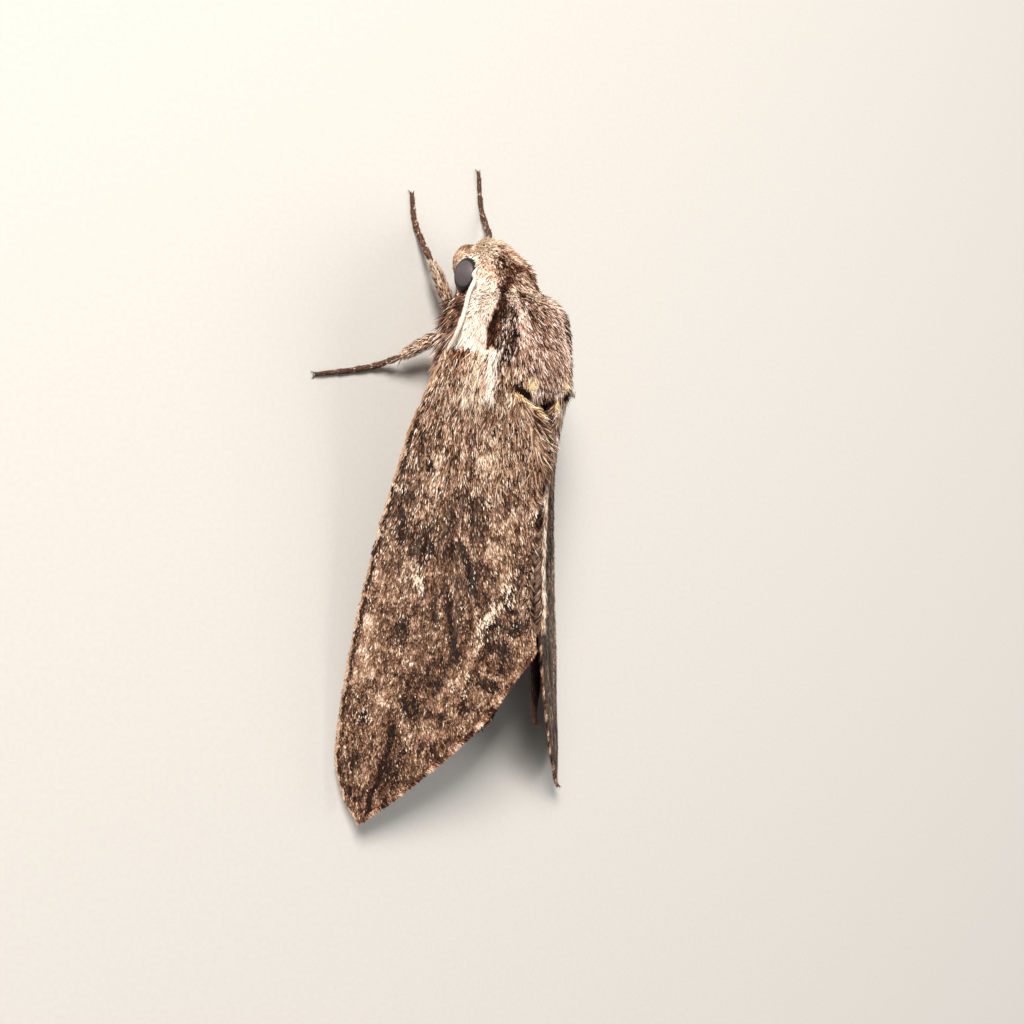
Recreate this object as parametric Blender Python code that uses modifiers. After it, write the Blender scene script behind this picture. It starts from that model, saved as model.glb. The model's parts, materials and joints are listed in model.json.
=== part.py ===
"""A hawk moth at rest with its wings folded like a roof, life size, standing on its six feet.

The moth faces -Y, its left side is +X and +Z is up. Sizes and places are given in millimetres as
(left, along, height): how far to its left of the body's middle plane, how far behind the front of
its head, and how high above the floor that it stands on.
"""

from math import cos, exp, pi, radians, sin

import bmesh
import bpy
from mathutils import Matrix, Vector

MM = 0.001
MIDDLE_ALONG = 25.6  # the origin lies this far behind the front of the head
GAP = 0.25  # clearance between neighbouring pieces
SIDES = {"left": 1, "right": -1}
STEPS_PER_RING = 4  # how finely a ring of the abdomen or a joint of a tarsus is drawn along its length
SHARP_ANGLE = 50  # degrees between two faces above which the edge stays sharp
MERGE = 0.01  # points nearer to each other than this are one

# The left forewing's plane, with the right one its mirror image. A place on a wing is given from the hinge:
# along the span, then across it towards the inner margin.
HINGE = Vector((7.0, 13.0, 11.0))
WING_TIP = Vector((14.6, 63.0, 3.0))
INNER_CORNER = Vector((0.6, 43.6, 16.85))
SPAN = (WING_TIP - HINGE).length
RIDGE_ACROSS = 15.0
ROOT_RISE = 1.6  # how far the wing root stands out to clear the thorax
ROOT_REACH = 9.0  # and how fast it comes back to the plane
DROOP = {"left": 0.0, "right": 0.045}  # the right wing hangs this much steeper from the ridge
TIP_LIFT = 0.3  # the share of the droop that is gone at the wing tip
SINK = {"left": 0.0, "right": 0.4}  # how far the right wings' ridge lies below the left one's

FOREWING = {
    "leading": (
        (0, -1.6),
        (3, -2.4),
        (8, -3.5),
        (14, -4.3),
        (22, -4.9),
        (30, -5.1),
        (40, -4.8),
        (45, -4.15),
        (48.5, -2.6),
        (50.3, -1.1),
        (SPAN, 0),
    ),
    "trailing": (
        (0, 2.0),
        (2.5, 8.6),
        (6, 10.9),
        (11, 11.5),
        (17, 12.1),
        (24, 13.3),
        (28, 14.9),
        (31, 13.7),
        (38, 10.5),
        (46.6, 4.1),
        (SPAN, 0),
    ),
    "depth": 0.0,
    "thickness": 0.6,
    "cells": (28, 9),
}
HINDWING = {
    "leading": ((5, -1.5), (9, -3.0), (22, -3.2), (33, -1.2), (37, 3.5), (39.2, 10.0)),
    "trailing": ((5, 6.0), (9, 9.8), (22, 11.8), (33, 12.2), (37, 11.9), (39.2, 10.0)),
    "depth": 1.35,  # below the forewing's outer face
    "thickness": 0.5,
    "cells": (18, 7),
}

# Body forms: stations of (along, half width, half height, height of the centre).
HEAD = ((-1.9, 3.2, 2.9, 7.2), (0.6, 3.7, 3.6, 7.9), (3.4, 4.25, 4.2, 8.8), (6.4, 4.9, 4.8, 9.7))
TRUNK = (
    (3.0, 4.6, 4.6, 9.4),
    (6.5, 6.0, 5.9, 10.5),
    (9.0, 6.7, 6.6, 10.8),
    (12.5, 7.2, 7.2, 10.9),
    (16.0, 6.9, 7.2, 10.9),
    (18.8, 6.3, 6.6, 11.0),
)
ABDOMEN = (
    (17.4, 4.8, 4.4, 9.0),
    (24.0, 4.8, 4.3, 7.9),
    (32.0, 4.2, 3.8, 6.8),
    (39.0, 3.2, 3.0, 5.9),
    (45.5, 1.9, 1.9, 5.2),
)
BELLY = 3.0  # the trunk's section below its middle is this much squarer than an ellipse, which is 2
HEAD_BACK, COLLAR_BACK, THORAX_BACK, ABDOMEN_BACK = 4.9, 7.4, 18.2, 42.0
FACE_ROUNDING, THORAX_ROUNDING, TAIL_ROUNDING = 4.5, 2.6, 3.2
ABDOMEN_RINGS = 7
RING_WAIST = 0.035  # how much narrower the abdomen is between two rings
EYE_RADIUS = 1.9
EYE = (3.2, 2.95, 8.4)
PALP = (2.1, 0.7, 5.6)
PALP_HALF_SIZES = (1.6, 2.3, 1.75)
PALP_LIFT = 24  # degrees that its front end points up
TEGULA = (5.3, 10.3, 13.3)
TEGULA_HALF_SIZES = (1.6, 4.6, 3.0)
TEGULA_ROLL = 38  # degrees from upright, to lie on the shoulder

# Antenna: swept back over the eye and along the shoulder, then under the wing.
ANTENNA = (
    (3.8, 2.2, 11.3),
    (4.8, 3.7, 11.1),
    (5.95, 5.4, 11.5),
    (6.9, 7.1, 12.2),
    (7.35, 8.7, 12.1),
    (7.6, 10.3, 11.5),
    (7.8, 12.1, 10.1),
    (7.85, 14.0, 8.6),
    (7.5, 17.0, 7.3),
    (6.5, 21.5, 5.9),
)
ANTENNA_RADII = (0.42, 0.27)
ANTENNA_STEPS = 34

# Legs: hip, knee and ankle, then the way of the tarsus from the ankle to its toe, which lies on the floor.
TOE = 0.24  # height of the tarsus's centre line where it lies on the floor
LEGS = {
    "foreleg_left": (
        (1.9, 9.2, 4.8),
        (2.9, 6.0, 4.1),
        (4.8, 0.7, 2.9),
        (5.2, -2.4, 1.1),
        (5.6, -4.8, TOE),
        (5.9, -7.7, TOE),
    ),
    "foreleg_right": (
        (-1.9, 8.6, 4.8),
        (-2.9, 5.2, 4.1),
        (-3.9, -0.8, 2.7),
        (-4.2, -4.2, 1.4),
        (-3.9, -7.4, TOE),
        (-3.5, -11.7, TOE),
    ),
    "midleg_left": (
        (3.4, 11.6, 4.2),
        (4.7, 9.0, 3.9),
        (8.3, 11.4, 2.2),
        (10.8, 12.5, 0.6),
        (14.2, 13.3, TOE),
        (18.4, 14.0, TOE),
    ),
    "hindleg_left": (
        (2.8, 15.2, 3.8),
        (5.4, 18.4, 4.1),
        (6.2, 25.4, 2.0),
        (6.5, 27.8, 0.6),
        (6.7, 31.0, TOE),
        (6.9, 34.5, TOE),
    ),
}
MIRRORED_LEGS = ("midleg", "hindleg")  # the right leg of these pairs mirrors the left one
FEMUR_RADII, TIBIA_RADII, TARSUS_RADII = (0.85, 0.8), (0.9, 0.6), (0.45, 0.3)
TARSUS_JOINTS = 5
JOINT_SWELL = 0.16  # how much a tarsus swells and narrows at its joints


def place(left, along, height):
    """A point on the moth in the part's own frame, in millimetres."""
    return Vector((left, along - MIDDLE_ALONG, height))


def smooth(points, at):
    """A smooth line through (x, y) points, read at one x, sloped at each point by the point's neighbours."""
    at = min(max(at, points[0][0]), points[-1][0])
    last = len(points) - 1
    slopes = []
    for i in range(last + 1):
        before, after = points[max(i - 1, 0)], points[min(i + 1, last)]
        slopes.append((after[1] - before[1]) / (after[0] - before[0]))
    i = next(k for k in range(last) if at <= points[k + 1][0])
    (x0, y0), (x1, y1) = points[i], points[i + 1]
    width = x1 - x0
    t = (at - x0) / width
    rise = y1 - y0
    start, end = slopes[i] * width - rise, rise - slopes[i + 1] * width
    return y0 + rise * t + t * (1 - t) * (start * (1 - t) + end * t)


def clear_scene():
    for obj in list(bpy.data.objects):
        bpy.data.objects.remove(obj)


def collection(name):
    made = bpy.data.collections.new(name)
    bpy.context.scene.collection.children.link(made)
    return made


def material(name, colour, roughness):
    made = bpy.data.materials.new(name)
    made.use_nodes = True
    shader = made.node_tree.nodes["Principled BSDF"]
    shader.inputs["Base Color"].default_value = (*colour, 1)
    shader.inputs["Roughness"].default_value = roughness
    shader.inputs["Metallic"].default_value = 0
    return made


def mesh_object(name, bm, kind, group):
    """A named object of this bmesh, which is in millimetres, shaded smooth."""
    mesh = bpy.data.meshes.new(name)
    bm.to_mesh(mesh)
    bm.free()
    mesh.transform(Matrix.Scale(MM, 4))
    mesh.shade_smooth()
    mesh.set_sharp_from_angle(angle=radians(SHARP_ANGLE))
    mesh.materials.append(kind)
    obj = bpy.data.objects.new(name, mesh)
    group.objects.link(obj)
    return obj


def body_form(name, stations, kind, group, rounding=(0, 0), cut=(None, None), segments=(24, 18), belly=2.0):
    """A closed form along the body, each ring of the station's size and place.

    rounding gives the lengths over which its front and rear close in, cut the places where planes stop them,
    and belly how square its section is below the middle.
    """
    front, rear = stations[0][0], stations[-1][0]
    lines = [[(s[0], s[k]) for s in stations] for k in (1, 2, 3)]
    bm = bmesh.new()
    bmesh.ops.create_uvsphere(bm, u_segments=segments[0], v_segments=segments[1], radius=1)
    for vert in bm.verts:
        x, z, y = vert.co.x, -vert.co.y, vert.co.z  # the sphere's poles turn to lie along the body
        along = front + (rear - front) * (y + 1) / 2
        half_width, half_height, centre = (smooth(line, along) for line in lines)
        size = 1.0
        for length, inside in zip(rounding, (along - front, rear - along)):
            if inside < length:
                size *= max(1 - (1 - inside / length) ** 2, 0) ** 0.5
        power = belly if z < 0 else 2
        ring = (abs(x) ** power + abs(z) ** power) ** (1 / power)
        size = size / ring if ring > 1e-6 else 0
        vert.co = place(x * size * half_width, along, centre + z * size * half_height)
    for limit, outward in zip(cut, (-1, 1)):
        if limit is None:
            continue
        plane = bmesh.ops.bisect_plane(
            bm,
            geom=bm.verts[:] + bm.edges[:] + bm.faces[:],
            plane_co=place(0, limit, 0),
            plane_no=(0, outward, 0),
            clear_outer=True,
        )
        rim = [e for e in plane["geom_cut"] if isinstance(e, bmesh.types.BMEdge)]
        bmesh.ops.contextual_create(bm, geom=rim)
    bmesh.ops.recalc_face_normals(bm, faces=bm.faces)
    return mesh_object(name, bm, kind, group)


def ball(name, centre, half_sizes, kind, group, roll=0.0, pitch=0.0, segments=(20, 12)):
    """An ellipsoid at a place on the moth, rolled about the body's length and pitched to lift its front end."""
    bm = bmesh.new()
    bmesh.ops.create_uvsphere(bm, u_segments=segments[0], v_segments=segments[1], radius=1)
    for vert in bm.verts:
        vert.co = Vector((vert.co.x * half_sizes[0], vert.co.z * half_sizes[1], -vert.co.y * half_sizes[2]))
    obj = mesh_object(name, bm, kind, group)
    obj.rotation_euler = (radians(-pitch), radians(roll), 0)
    obj.location = place(*centre) * MM
    return obj


def evaluated_mesh(obj):
    bpy.context.view_layer.update()
    graph = bpy.context.evaluated_depsgraph_get()
    graph.update()
    return bpy.data.meshes.new_from_object(obj.evaluated_get(graph), depsgraph=graph)


def cutter(obj, group):
    """A copy of a piece as it now is, grown by the gap, that cuts room for it in its neighbours."""
    mesh = evaluated_mesh(obj)
    mesh.name = obj.name + "_room"
    mesh.transform(Matrix.Scale(1 / MM, 4))
    bm = bmesh.new()
    bm.from_mesh(mesh)
    bmesh.ops.remove_doubles(bm, verts=bm.verts, dist=MERGE / 10)
    bm.normal_update()
    for vert, normal in [(v, v.normal.copy()) for v in bm.verts]:
        vert.co += normal * GAP
    bm.to_mesh(mesh)
    bm.free()
    mesh.transform(Matrix.Scale(MM, 4))
    made = bpy.data.objects.new(obj.name + "_room", mesh)
    made.matrix_world = obj.matrix_world
    made.hide_render = True
    made.display_type = "WIRE"
    group.objects.link(made)
    return made


def cut_away(obj, rooms):
    """Takes the room of its neighbours out of a piece."""
    for room in rooms:
        cut = obj.modifiers.new(room.name, "BOOLEAN")
        cut.operation = "DIFFERENCE"
        cut.solver = "EXACT"
        cut.object = room


def wing_axes():
    """The left forewing's span, its cross direction towards the inner margin, and its outward normal."""
    span = (WING_TIP - HINGE).normalized()
    outward = (WING_TIP - HINGE).cross(INNER_CORNER - HINGE).normalized()
    return span, outward.cross(span), outward


def wing(name, side, shape, kind, group):
    """A wing: a grid laid out between its two edges, bent to the roof and given its thickness."""
    span, across, outward = wing_axes()
    sign, droop, depth = SIDES[side], DROOP[side], shape["depth"] + SINK[side]
    start, end = shape["leading"][0][0], shape["leading"][-1][0]
    bm = bmesh.new()
    bmesh.ops.create_grid(bm, x_segments=shape["cells"][0], y_segments=shape["cells"][1], size=1)
    for vert in bm.verts:
        u, v = (vert.co.x + 1) / 2, (vert.co.y + 1) / 2
        s = start + (end - start) * sin(u * pi / 2)  # closer together towards the tip
        t = smooth(shape["leading"], s) * (1 - v) + smooth(shape["trailing"], s) * v
        fall = droop * (RIDGE_ACROSS - t) * (1 - TIP_LIFT * (s / SPAN) ** 4)
        rise = ROOT_RISE * exp(-((s / ROOT_REACH) ** 2)) - fall - depth
        point = HINGE + span * s + across * t + outward * rise
        vert.co = place(sign * point.x, point.y, point.z)
    bmesh.ops.remove_doubles(bm, verts=bm.verts, dist=5 * MERGE)
    bm.normal_update()
    outer = Vector((sign * outward.x, outward.y, outward.z))
    if sum(f.normal.dot(outer) for f in bm.faces) < 0:
        bmesh.ops.reverse_faces(bm, faces=bm.faces)
    obj = mesh_object(name, bm, kind, group)
    shell = obj.modifiers.new("thickness", "SOLIDIFY")
    shell.thickness = shape["thickness"] * MM
    shell.offset = -1
    return obj


def tube(name, points, radii, kind, group, beads=0, flat_foot=False, resolution=2):
    """A round limb through these places, tapering from the first radius to the second.

    beads swell it at even steps, as at the joints of a tarsus, and a flat foot stops it level with the floor.
    """
    curve = bpy.data.curves.new(name, "CURVE")
    curve.dimensions = "3D"
    curve.bevel_depth = 1
    curve.bevel_resolution = resolution
    curve.use_fill_caps = True
    spline = curve.splines.new("POLY")
    spline.points.add(len(points) - 1)
    last = len(points) - 1
    for i, (spot, here) in enumerate(zip(spline.points, points)):
        share = i / last
        swell = 1 + JOINT_SWELL * cos(2 * pi * beads * share) if beads else 1
        spot.co = (*place(*here), 1)
        spot.radius = (radii[0] + (radii[1] - radii[0]) * share) * swell
    drawn = bpy.data.objects.new(name + "_line", curve)
    group.objects.link(drawn)
    bm = bmesh.new()
    bm.from_mesh(evaluated_mesh(drawn))
    bpy.data.objects.remove(drawn)
    bmesh.ops.remove_doubles(bm, verts=bm.verts, dist=MERGE)
    if flat_foot:
        for vert in bm.verts:
            vert.co.z = max(vert.co.z, 0)
    bmesh.ops.recalc_face_normals(bm, faces=bm.faces)
    return mesh_object(name, bm, kind, group)


def bent(points, count):
    """A smooth line through places, as count + 1 places at even steps of their numbering."""
    lines = [list(enumerate(p[k] for p in points)) for k in range(3)]
    last = len(points) - 1
    return [tuple(smooth(line, last * i / count) for line in lines) for i in range(count + 1)]


def shortened(start, end, at_start, at_end):
    """A straight limb's two ends, each drawn in so that it clears the limb it meets."""
    first, last = Vector(start), Vector(end)
    way = (last - first).normalized()
    return tuple(first + way * at_start), tuple(last - way * at_end)


def leg(name, joints, rooms, kind, group):
    """A leg in three pieces: femur, tibia and a tarsus of beaded joints that lies on the floor at its end."""
    hip, knee, ankle, *way = joints
    clear = TIBIA_RADII[0] + GAP / 2
    femur = tube(name + "_femur", shortened(hip, knee, 0, clear), FEMUR_RADII, kind, group)
    cut_away(femur, rooms)
    tube(name + "_tibia", shortened(knee, ankle, 0, TARSUS_RADII[0] + GAP), TIBIA_RADII, kind, group)
    line = bent((ankle, *way), STEPS_PER_RING * TARSUS_JOINTS)
    tarsus = name + "_tarsus"
    tube(tarsus, line, TARSUS_RADII, kind, group, beads=TARSUS_JOINTS, flat_foot=True, resolution=1)


def abdomen_stations():
    """The abdomen's stations with a slight waist between each of its rings."""
    front, rear = ABDOMEN[0][0], ABDOMEN[-1][0]
    lines = [[(s[0], s[k]) for s in ABDOMEN] for k in (1, 2, 3)]
    steps = STEPS_PER_RING * ABDOMEN_RINGS
    stations = []
    for i in range(steps + 1):
        along = front + (rear - front) * i / steps
        waist = 1 - RING_WAIST * (0.5 + 0.5 * cos(2 * pi * ABDOMEN_RINGS * i / steps))
        half_width, half_height, centre = (smooth(line, along) for line in lines)
        stations.append((along, half_width * waist, half_height * waist, centre))
    return stations


def build_body(fur, moth, rooms):
    """Head, collar, thorax, abdomen and tail tuft, with the room that each of the first three takes."""
    head = body_form("head", HEAD, fur, moth, (FACE_ROUNDING, 0), (None, HEAD_BACK))
    collar = body_form("collar", TRUNK, fur, moth, cut=(HEAD_BACK + GAP, COLLAR_BACK), belly=BELLY)
    thorax_cut = (COLLAR_BACK + GAP, THORAX_BACK)
    thorax = body_form("thorax", TRUNK, fur, moth, (0, THORAX_ROUNDING), thorax_cut, belly=BELLY)
    abdomen_cut = (THORAX_BACK + GAP, ABDOMEN_BACK)
    body_form("abdomen", abdomen_stations(), fur, moth, cut=abdomen_cut, segments=(24, 36))
    body_form("tail_tuft", ABDOMEN, fur, moth, (0, TAIL_ROUNDING), (ABDOMEN_BACK + GAP, None), (20, 24))
    return [(piece, cutter(piece, rooms)) for piece in (head, collar, thorax)]


def build_side(side, kinds, body, eye_rooms, moth, rooms):
    """One side's antenna, palp, tegula, forewing and hindwing."""
    sign = SIDES[side]
    head_room, collar_room, thorax_room = (room for _, room in body)
    line = bent([(sign * left, along, height) for left, along, height in ANTENNA], ANTENNA_STEPS)
    antenna = tube(f"antenna_{side}", line, ANTENNA_RADII, kinds["pale_fur"], moth, resolution=1)
    palp_place = (sign * PALP[0], *PALP[1:])
    palp = ball(f"palp_{side}", palp_place, PALP_HALF_SIZES, kinds["fur"], moth, pitch=PALP_LIFT)
    cut_away(palp, [head_room, *eye_rooms])
    tegula_place = (sign * TEGULA[0], *TEGULA[1:])
    roll = -sign * TEGULA_ROLL
    tegula = ball(f"tegula_{side}", tegula_place, TEGULA_HALF_SIZES, kinds["pale_fur"], moth, roll=roll)
    cut_away(tegula, [collar_room, thorax_room, cutter(antenna, rooms)])
    forewing = wing(f"forewing_{side}", side, FOREWING, kinds["scales"], moth)
    cut_away(forewing, [thorax_room, cutter(tegula, rooms)])
    wing(f"hindwing_{side}", side, HINDWING, kinds["scales"], moth)


def build_moth():
    moth, rooms = collection("hawk_moth"), collection("cutters")
    kinds = {
        "fur": material("grey_brown_fur", (0.19, 0.14, 0.11), 0.9),
        "pale_fur": material("cream_fur", (0.62, 0.53, 0.42), 0.9),
        "scales": material("wing_scales", (0.17, 0.12, 0.09), 0.85),
        "eye": material("eye_lens", (0.02, 0.018, 0.02), 0.3),
        "leg": material("leg_scales", (0.16, 0.09, 0.05), 0.8),
    }
    body = build_body(kinds["fur"], moth, rooms)
    eye_rooms = []
    for side, sign in SIDES.items():
        eye = ball(f"eye_{side}", (sign * EYE[0], *EYE[1:]), (EYE_RADIUS,) * 3, kinds["eye"], moth)
        eye_rooms.append(cutter(eye, rooms))
    for piece, _ in body[:2]:
        cut_away(piece, eye_rooms)
    for side in SIDES:
        build_side(side, kinds, body, eye_rooms, moth, rooms)
    legs = dict(LEGS)
    for pair in MIRRORED_LEGS:
        left_leg = LEGS[f"{pair}_left"]
        legs[f"{pair}_right"] = tuple((-left, along, height) for left, along, height in left_leg)
    for name, joints in legs.items():
        leg(name, joints, [room for _, room in body[1:]], kinds["leg"], moth)


clear_scene()
build_moth()
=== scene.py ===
"""A life-size hawk moth at rest: its skin, fur, scales, eyes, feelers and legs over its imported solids.

Places on the moth are in millimetres, as (left, along, height): how far to its left of its middle plane,
how far back along it, counted so that its head starts at -1.9, and how high above the floor it stands on.
"""

import functools
import itertools
import json
import math

import bmesh
import bpy
import numpy as np
from bpy.props import FloatProperty, FloatVectorProperty, IntProperty, PointerProperty
from mathutils import Matrix, Vector

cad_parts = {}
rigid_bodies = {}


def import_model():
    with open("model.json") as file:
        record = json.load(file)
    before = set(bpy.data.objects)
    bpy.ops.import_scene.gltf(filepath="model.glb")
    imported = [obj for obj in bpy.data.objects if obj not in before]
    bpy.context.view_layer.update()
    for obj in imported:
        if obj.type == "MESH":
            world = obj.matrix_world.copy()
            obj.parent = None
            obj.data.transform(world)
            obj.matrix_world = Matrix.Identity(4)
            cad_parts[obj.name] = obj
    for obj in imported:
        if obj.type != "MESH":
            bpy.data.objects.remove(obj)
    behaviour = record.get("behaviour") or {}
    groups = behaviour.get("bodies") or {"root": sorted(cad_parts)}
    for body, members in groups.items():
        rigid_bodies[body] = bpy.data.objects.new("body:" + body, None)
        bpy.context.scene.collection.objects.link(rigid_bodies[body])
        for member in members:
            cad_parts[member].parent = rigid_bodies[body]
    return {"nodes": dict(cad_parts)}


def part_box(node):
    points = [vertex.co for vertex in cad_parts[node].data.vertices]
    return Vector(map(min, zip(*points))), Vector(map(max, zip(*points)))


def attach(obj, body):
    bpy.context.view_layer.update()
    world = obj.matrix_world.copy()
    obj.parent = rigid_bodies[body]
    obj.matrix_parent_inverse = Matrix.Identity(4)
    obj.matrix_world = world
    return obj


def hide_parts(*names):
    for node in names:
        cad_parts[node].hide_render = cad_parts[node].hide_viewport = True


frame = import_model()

for startup in {"Cube", "Light", "Camera"} & set(bpy.data.objects.keys()):
    bpy.data.objects.remove(bpy.data.objects[startup])
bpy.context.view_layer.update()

bl_info = {
    "name": "Hawk Moth",
    "version": (1, 0, 0),
    "blender": (4, 5, 0),
    "location": "View3D > Sidebar > Hawk Moth",
    "description": "Builds the skin, coat, eyes, feelers and legs of a resting hawk moth",
    "category": "Add Mesh",
}

MM = 0.001
SEED = 41
SIDES = {"left": 1.0, "right": -1.0}
HEAD_FRONT = -1.9  # the along value of the foremost point of the head's solid
MIDDLE_ALONG = HEAD_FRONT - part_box("head")[0].y / MM

# The left forewing's plane, which the right one mirrors. A place on a wing is given from the hinge: along the
# span, then across it towards the inner margin.
HINGE = np.array((7.0, 13.0, 11.0))
WING_TIP = np.array((14.6, 63.0, 3.0))
INNER_CORNER = np.array((0.6, 43.6, 16.85))
SPAN = float(np.linalg.norm(WING_TIP - HINGE))
RIDGE_ACROSS = 15.0
ROOT_RISE = 1.6  # how far the wing root stands out to clear the thorax
ROOT_REACH = 9.0  # and how fast it comes back to the plane
DROOP = {"left": 0.0, "right": 0.045}  # the right wing hangs this much steeper from the ridge
TIP_LIFT = 0.3  # the share of the droop that is gone at the wing tip
SINK = {"left": 0.0, "right": 0.4}  # how far the right wings' ridge lies below the left one's

# The leading edge, the trailing edge and the depth below the forewing's outer face.
FOREWING = {
    "leading": (
        (0, -1.6),
        (3, -2.4),
        (8, -3.5),
        (14, -4.3),
        (22, -4.9),
        (30, -5.1),
        (40, -4.8),
        (45, -4.15),
        (48.5, -2.6),
        (50.3, -1.1),
        (SPAN, 0),
    ),
    "trailing": (
        (0, 2.0),
        (2.5, 8.6),
        (6, 10.9),
        (11, 11.5),
        (17, 12.1),
        (24, 13.3),
        (28, 14.9),
        (31, 13.7),
        (38, 10.5),
        (46.6, 4.1),
        (SPAN, 0),
    ),
    "depth": 0.0,
}
HINDWING = {
    "leading": ((5, -1.5), (9, -3.0), (22, -3.2), (33, -1.2), (37, 3.5), (39.2, 10.0)),
    "trailing": ((5, 6.0), (9, 9.8), (22, 11.8), (33, 12.2), (37, 11.9), (39.2, 10.0)),
    "depth": 1.35,
}
WING_COAT_DEPTH = 0.2  # how far the membrane lies inside the wing's solid
WING_MEMBRANE = 0.22  # how thick the membrane is drawn

# Where the veins run, as shares of the wing's width at its root and at its margin.
VEINS = (
    (0.05, 0.03),
    (0.12, 0.085),
    (0.19, 0.15),
    (0.26, 0.23),
    (0.33, 0.33),
    (0.38, 0.44),
    (0.45, 0.56),
    (0.55, 0.68),
    (0.68, 0.81),
    (0.86, 0.93),
)
VEIN_WIDTH = 0.22
VEIN_HEIGHT = 0.07
VEINS_PART = (3, 36)  # the run along the wing over which the veins spread out to their places at the margin
VEINS_RISE = (2, 9)  # and the run over which they come up out of the membrane
BUCKLE_HEIGHT = 0.1  # the soft buckles of the membrane between the veins
BUCKLE_WIDTH = 3.5
MEMBRANE_SQUARES = (170, 56)  # how many places a membrane has along it and across it
MARGIN_SCALLOP = (0.07, 2.6)  # how deep and how long one scallop of the outer margin is

# The middle height of the body at stations along it.
BODY_MIDDLE = (
    (-1.9, 7.2),
    (0.6, 7.9),
    (3.4, 8.9),
    (6.5, 10.5),
    (9, 10.8),
    (16, 10.9),
    (18.8, 11),
    (24, 7.9),
    (32, 6.8),
    (45.5, 5.2),
)

EYE_PLACE = (3.2, 2.95, 8.4)
EYE_RADIUS = 1.9
EYE_BULGE = 1.03  # how far the open part of the dome stands out, as a share of that radius
EYE_TUCK = 0.05  # and how much lower its edge lies, under the fur
EYE_AXIS = (0.98, -0.1, 0.15)  # the way the left eye faces
EYE_GREY = (0.86, -0.1, 0.34)  # the way the middle of its grey part faces, inside a black ring that is partly the eye's dark rim and partly painted shade from the fur over its edge
EYE_GREY_WIDTH = 37.0  # how many degrees the grey part reaches round from there
EYE_LONG = 1.22  # how much longer than it is wide the eye is, along the body
EYE_OPEN = 53.0  # degrees from its axis where the fur begins
EYE_END = 118.0  # degrees from its axis where the dome ends, inside the head
EYE_RINGS = 44
EYE_AROUND = 72
PALP = {"place": (2.1, 0.7, 5.6), "half_sizes": (1.6, 2.3, 1.75), "roll": 0.0, "pitch": 24.0}
ANTENNA = (
    (3.8, 2.2, 11.3),
    (4.8, 3.7, 11.1),
    (5.95, 5.4, 11.5),
    (6.9, 7.1, 12.2),
    (7.35, 8.7, 12.1),
    (7.6, 10.3, 11.5),
    (7.8, 12.1, 10.1),
    (7.85, 14.0, 8.6),
    (7.5, 17.0, 7.3),
    (6.5, 21.5, 5.9),
)
ANTENNA_RADII = ((0, 0.22), (0.2, 0.22), (1, 0.17))
ANTENNA_NEAR = (0.16, 0.1)  # how much nearer the head and higher an antenna lies than its rod in the solids
ROOT_TUCK = 0.9  # how much deeper an antenna starts, under the fur beside the eye
RIGHT_TUCK = 0.6  # how much deeper the right antenna lies in the fur beside the head
ANTENNA_STATIONS = 260
ANTENNA_RINGS = 64
RING_HEIGHT = 0.04  # how far an antenna's rings stand out, as a share of its radius
ANTENNA_SCALES = 3000
PALE_SIDE = (0.6, 0.1, 0.78)  # the way the left antenna's pale scales face

# Legs: hip, knee and ankle, then the way of the tarsus to its toe. The right middle and hind legs mirror the
# left ones.
TOE = 0.24
LEGS = {
    "foreleg_left": (
        (1.9, 9.2, 4.8),
        (2.9, 6.0, 4.1),
        (4.8, 0.7, 2.9),
        (5.2, -2.4, 1.1),
        (5.6, -4.8, TOE),
        (5.9, -7.7, TOE),
    ),
    "foreleg_right": (
        (-1.9, 8.6, 4.8),
        (-2.9, 5.2, 4.1),
        (-3.9, -0.8, 2.7),
        (-4.2, -4.2, 1.4),
        (-3.9, -7.4, TOE),
        (-3.5, -11.7, TOE),
    ),
    "midleg_left": (
        (3.4, 11.6, 4.2),
        (4.7, 9.0, 3.9),
        (8.3, 11.4, 2.2),
        (10.8, 12.5, 0.6),
        (14.2, 13.3, TOE),
        (18.4, 14.0, TOE),
    ),
    "hindleg_left": (
        (2.8, 15.2, 3.8),
        (5.4, 18.4, 4.1),
        (6.2, 25.4, 2.0),
        (6.5, 27.8, 0.6),
        (6.7, 31.0, TOE),
        (6.9, 34.5, TOE),
    ),
}

MIRRORED_LEGS = ("midleg", "hindleg")
FEMUR_RADII = ((0, 0.72), (0.5, 0.7), (1, 0.56))
TIBIA_RADII = ((0, 0.5), (0.2, 0.72), (0.7, 0.56), (1, 0.38))
TARSUS_RADII = ((0, 0.36), (0.6, 0.31), (1, 0.25))
TARSUS_JOINTS = 5
LIMB_STATIONS = 26
TARSUS_STATIONS = 76

# How many scales each piece of the coat has. A wing's pieces also say how far along it they run, and
# whether they are beneath it.
LEG_SCALES = {"femur": 800, "tibia": 900, "tarsus": 620}
FUR_HAIRS = {"head": 20000, "thorax": 26000, "breast": 12000, "abdomen": 9000}
FOREWING_SCALES = {
    "left": {
        "inner": (-1.0, 17.5, 37000, False),
        "middle": (17.5, 31.0, 37000, False),
        "outer": (31.0, SPAN, 28000, False),
        "under": (0.0, SPAN, 8000, True),
    },
    "right": {
        "inner": (-1.0, 24.0, 24000, False),
        "outer": (24.0, SPAN, 18000, False),
        "under": (0.0, SPAN, 8000, True),
    },
}
HINDWING_SCALES = {
    side: {"outer": (5.0, 39.2, 6500, False), "under": (5.0, 39.2, 3500, True)} for side in SIDES
}

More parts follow.
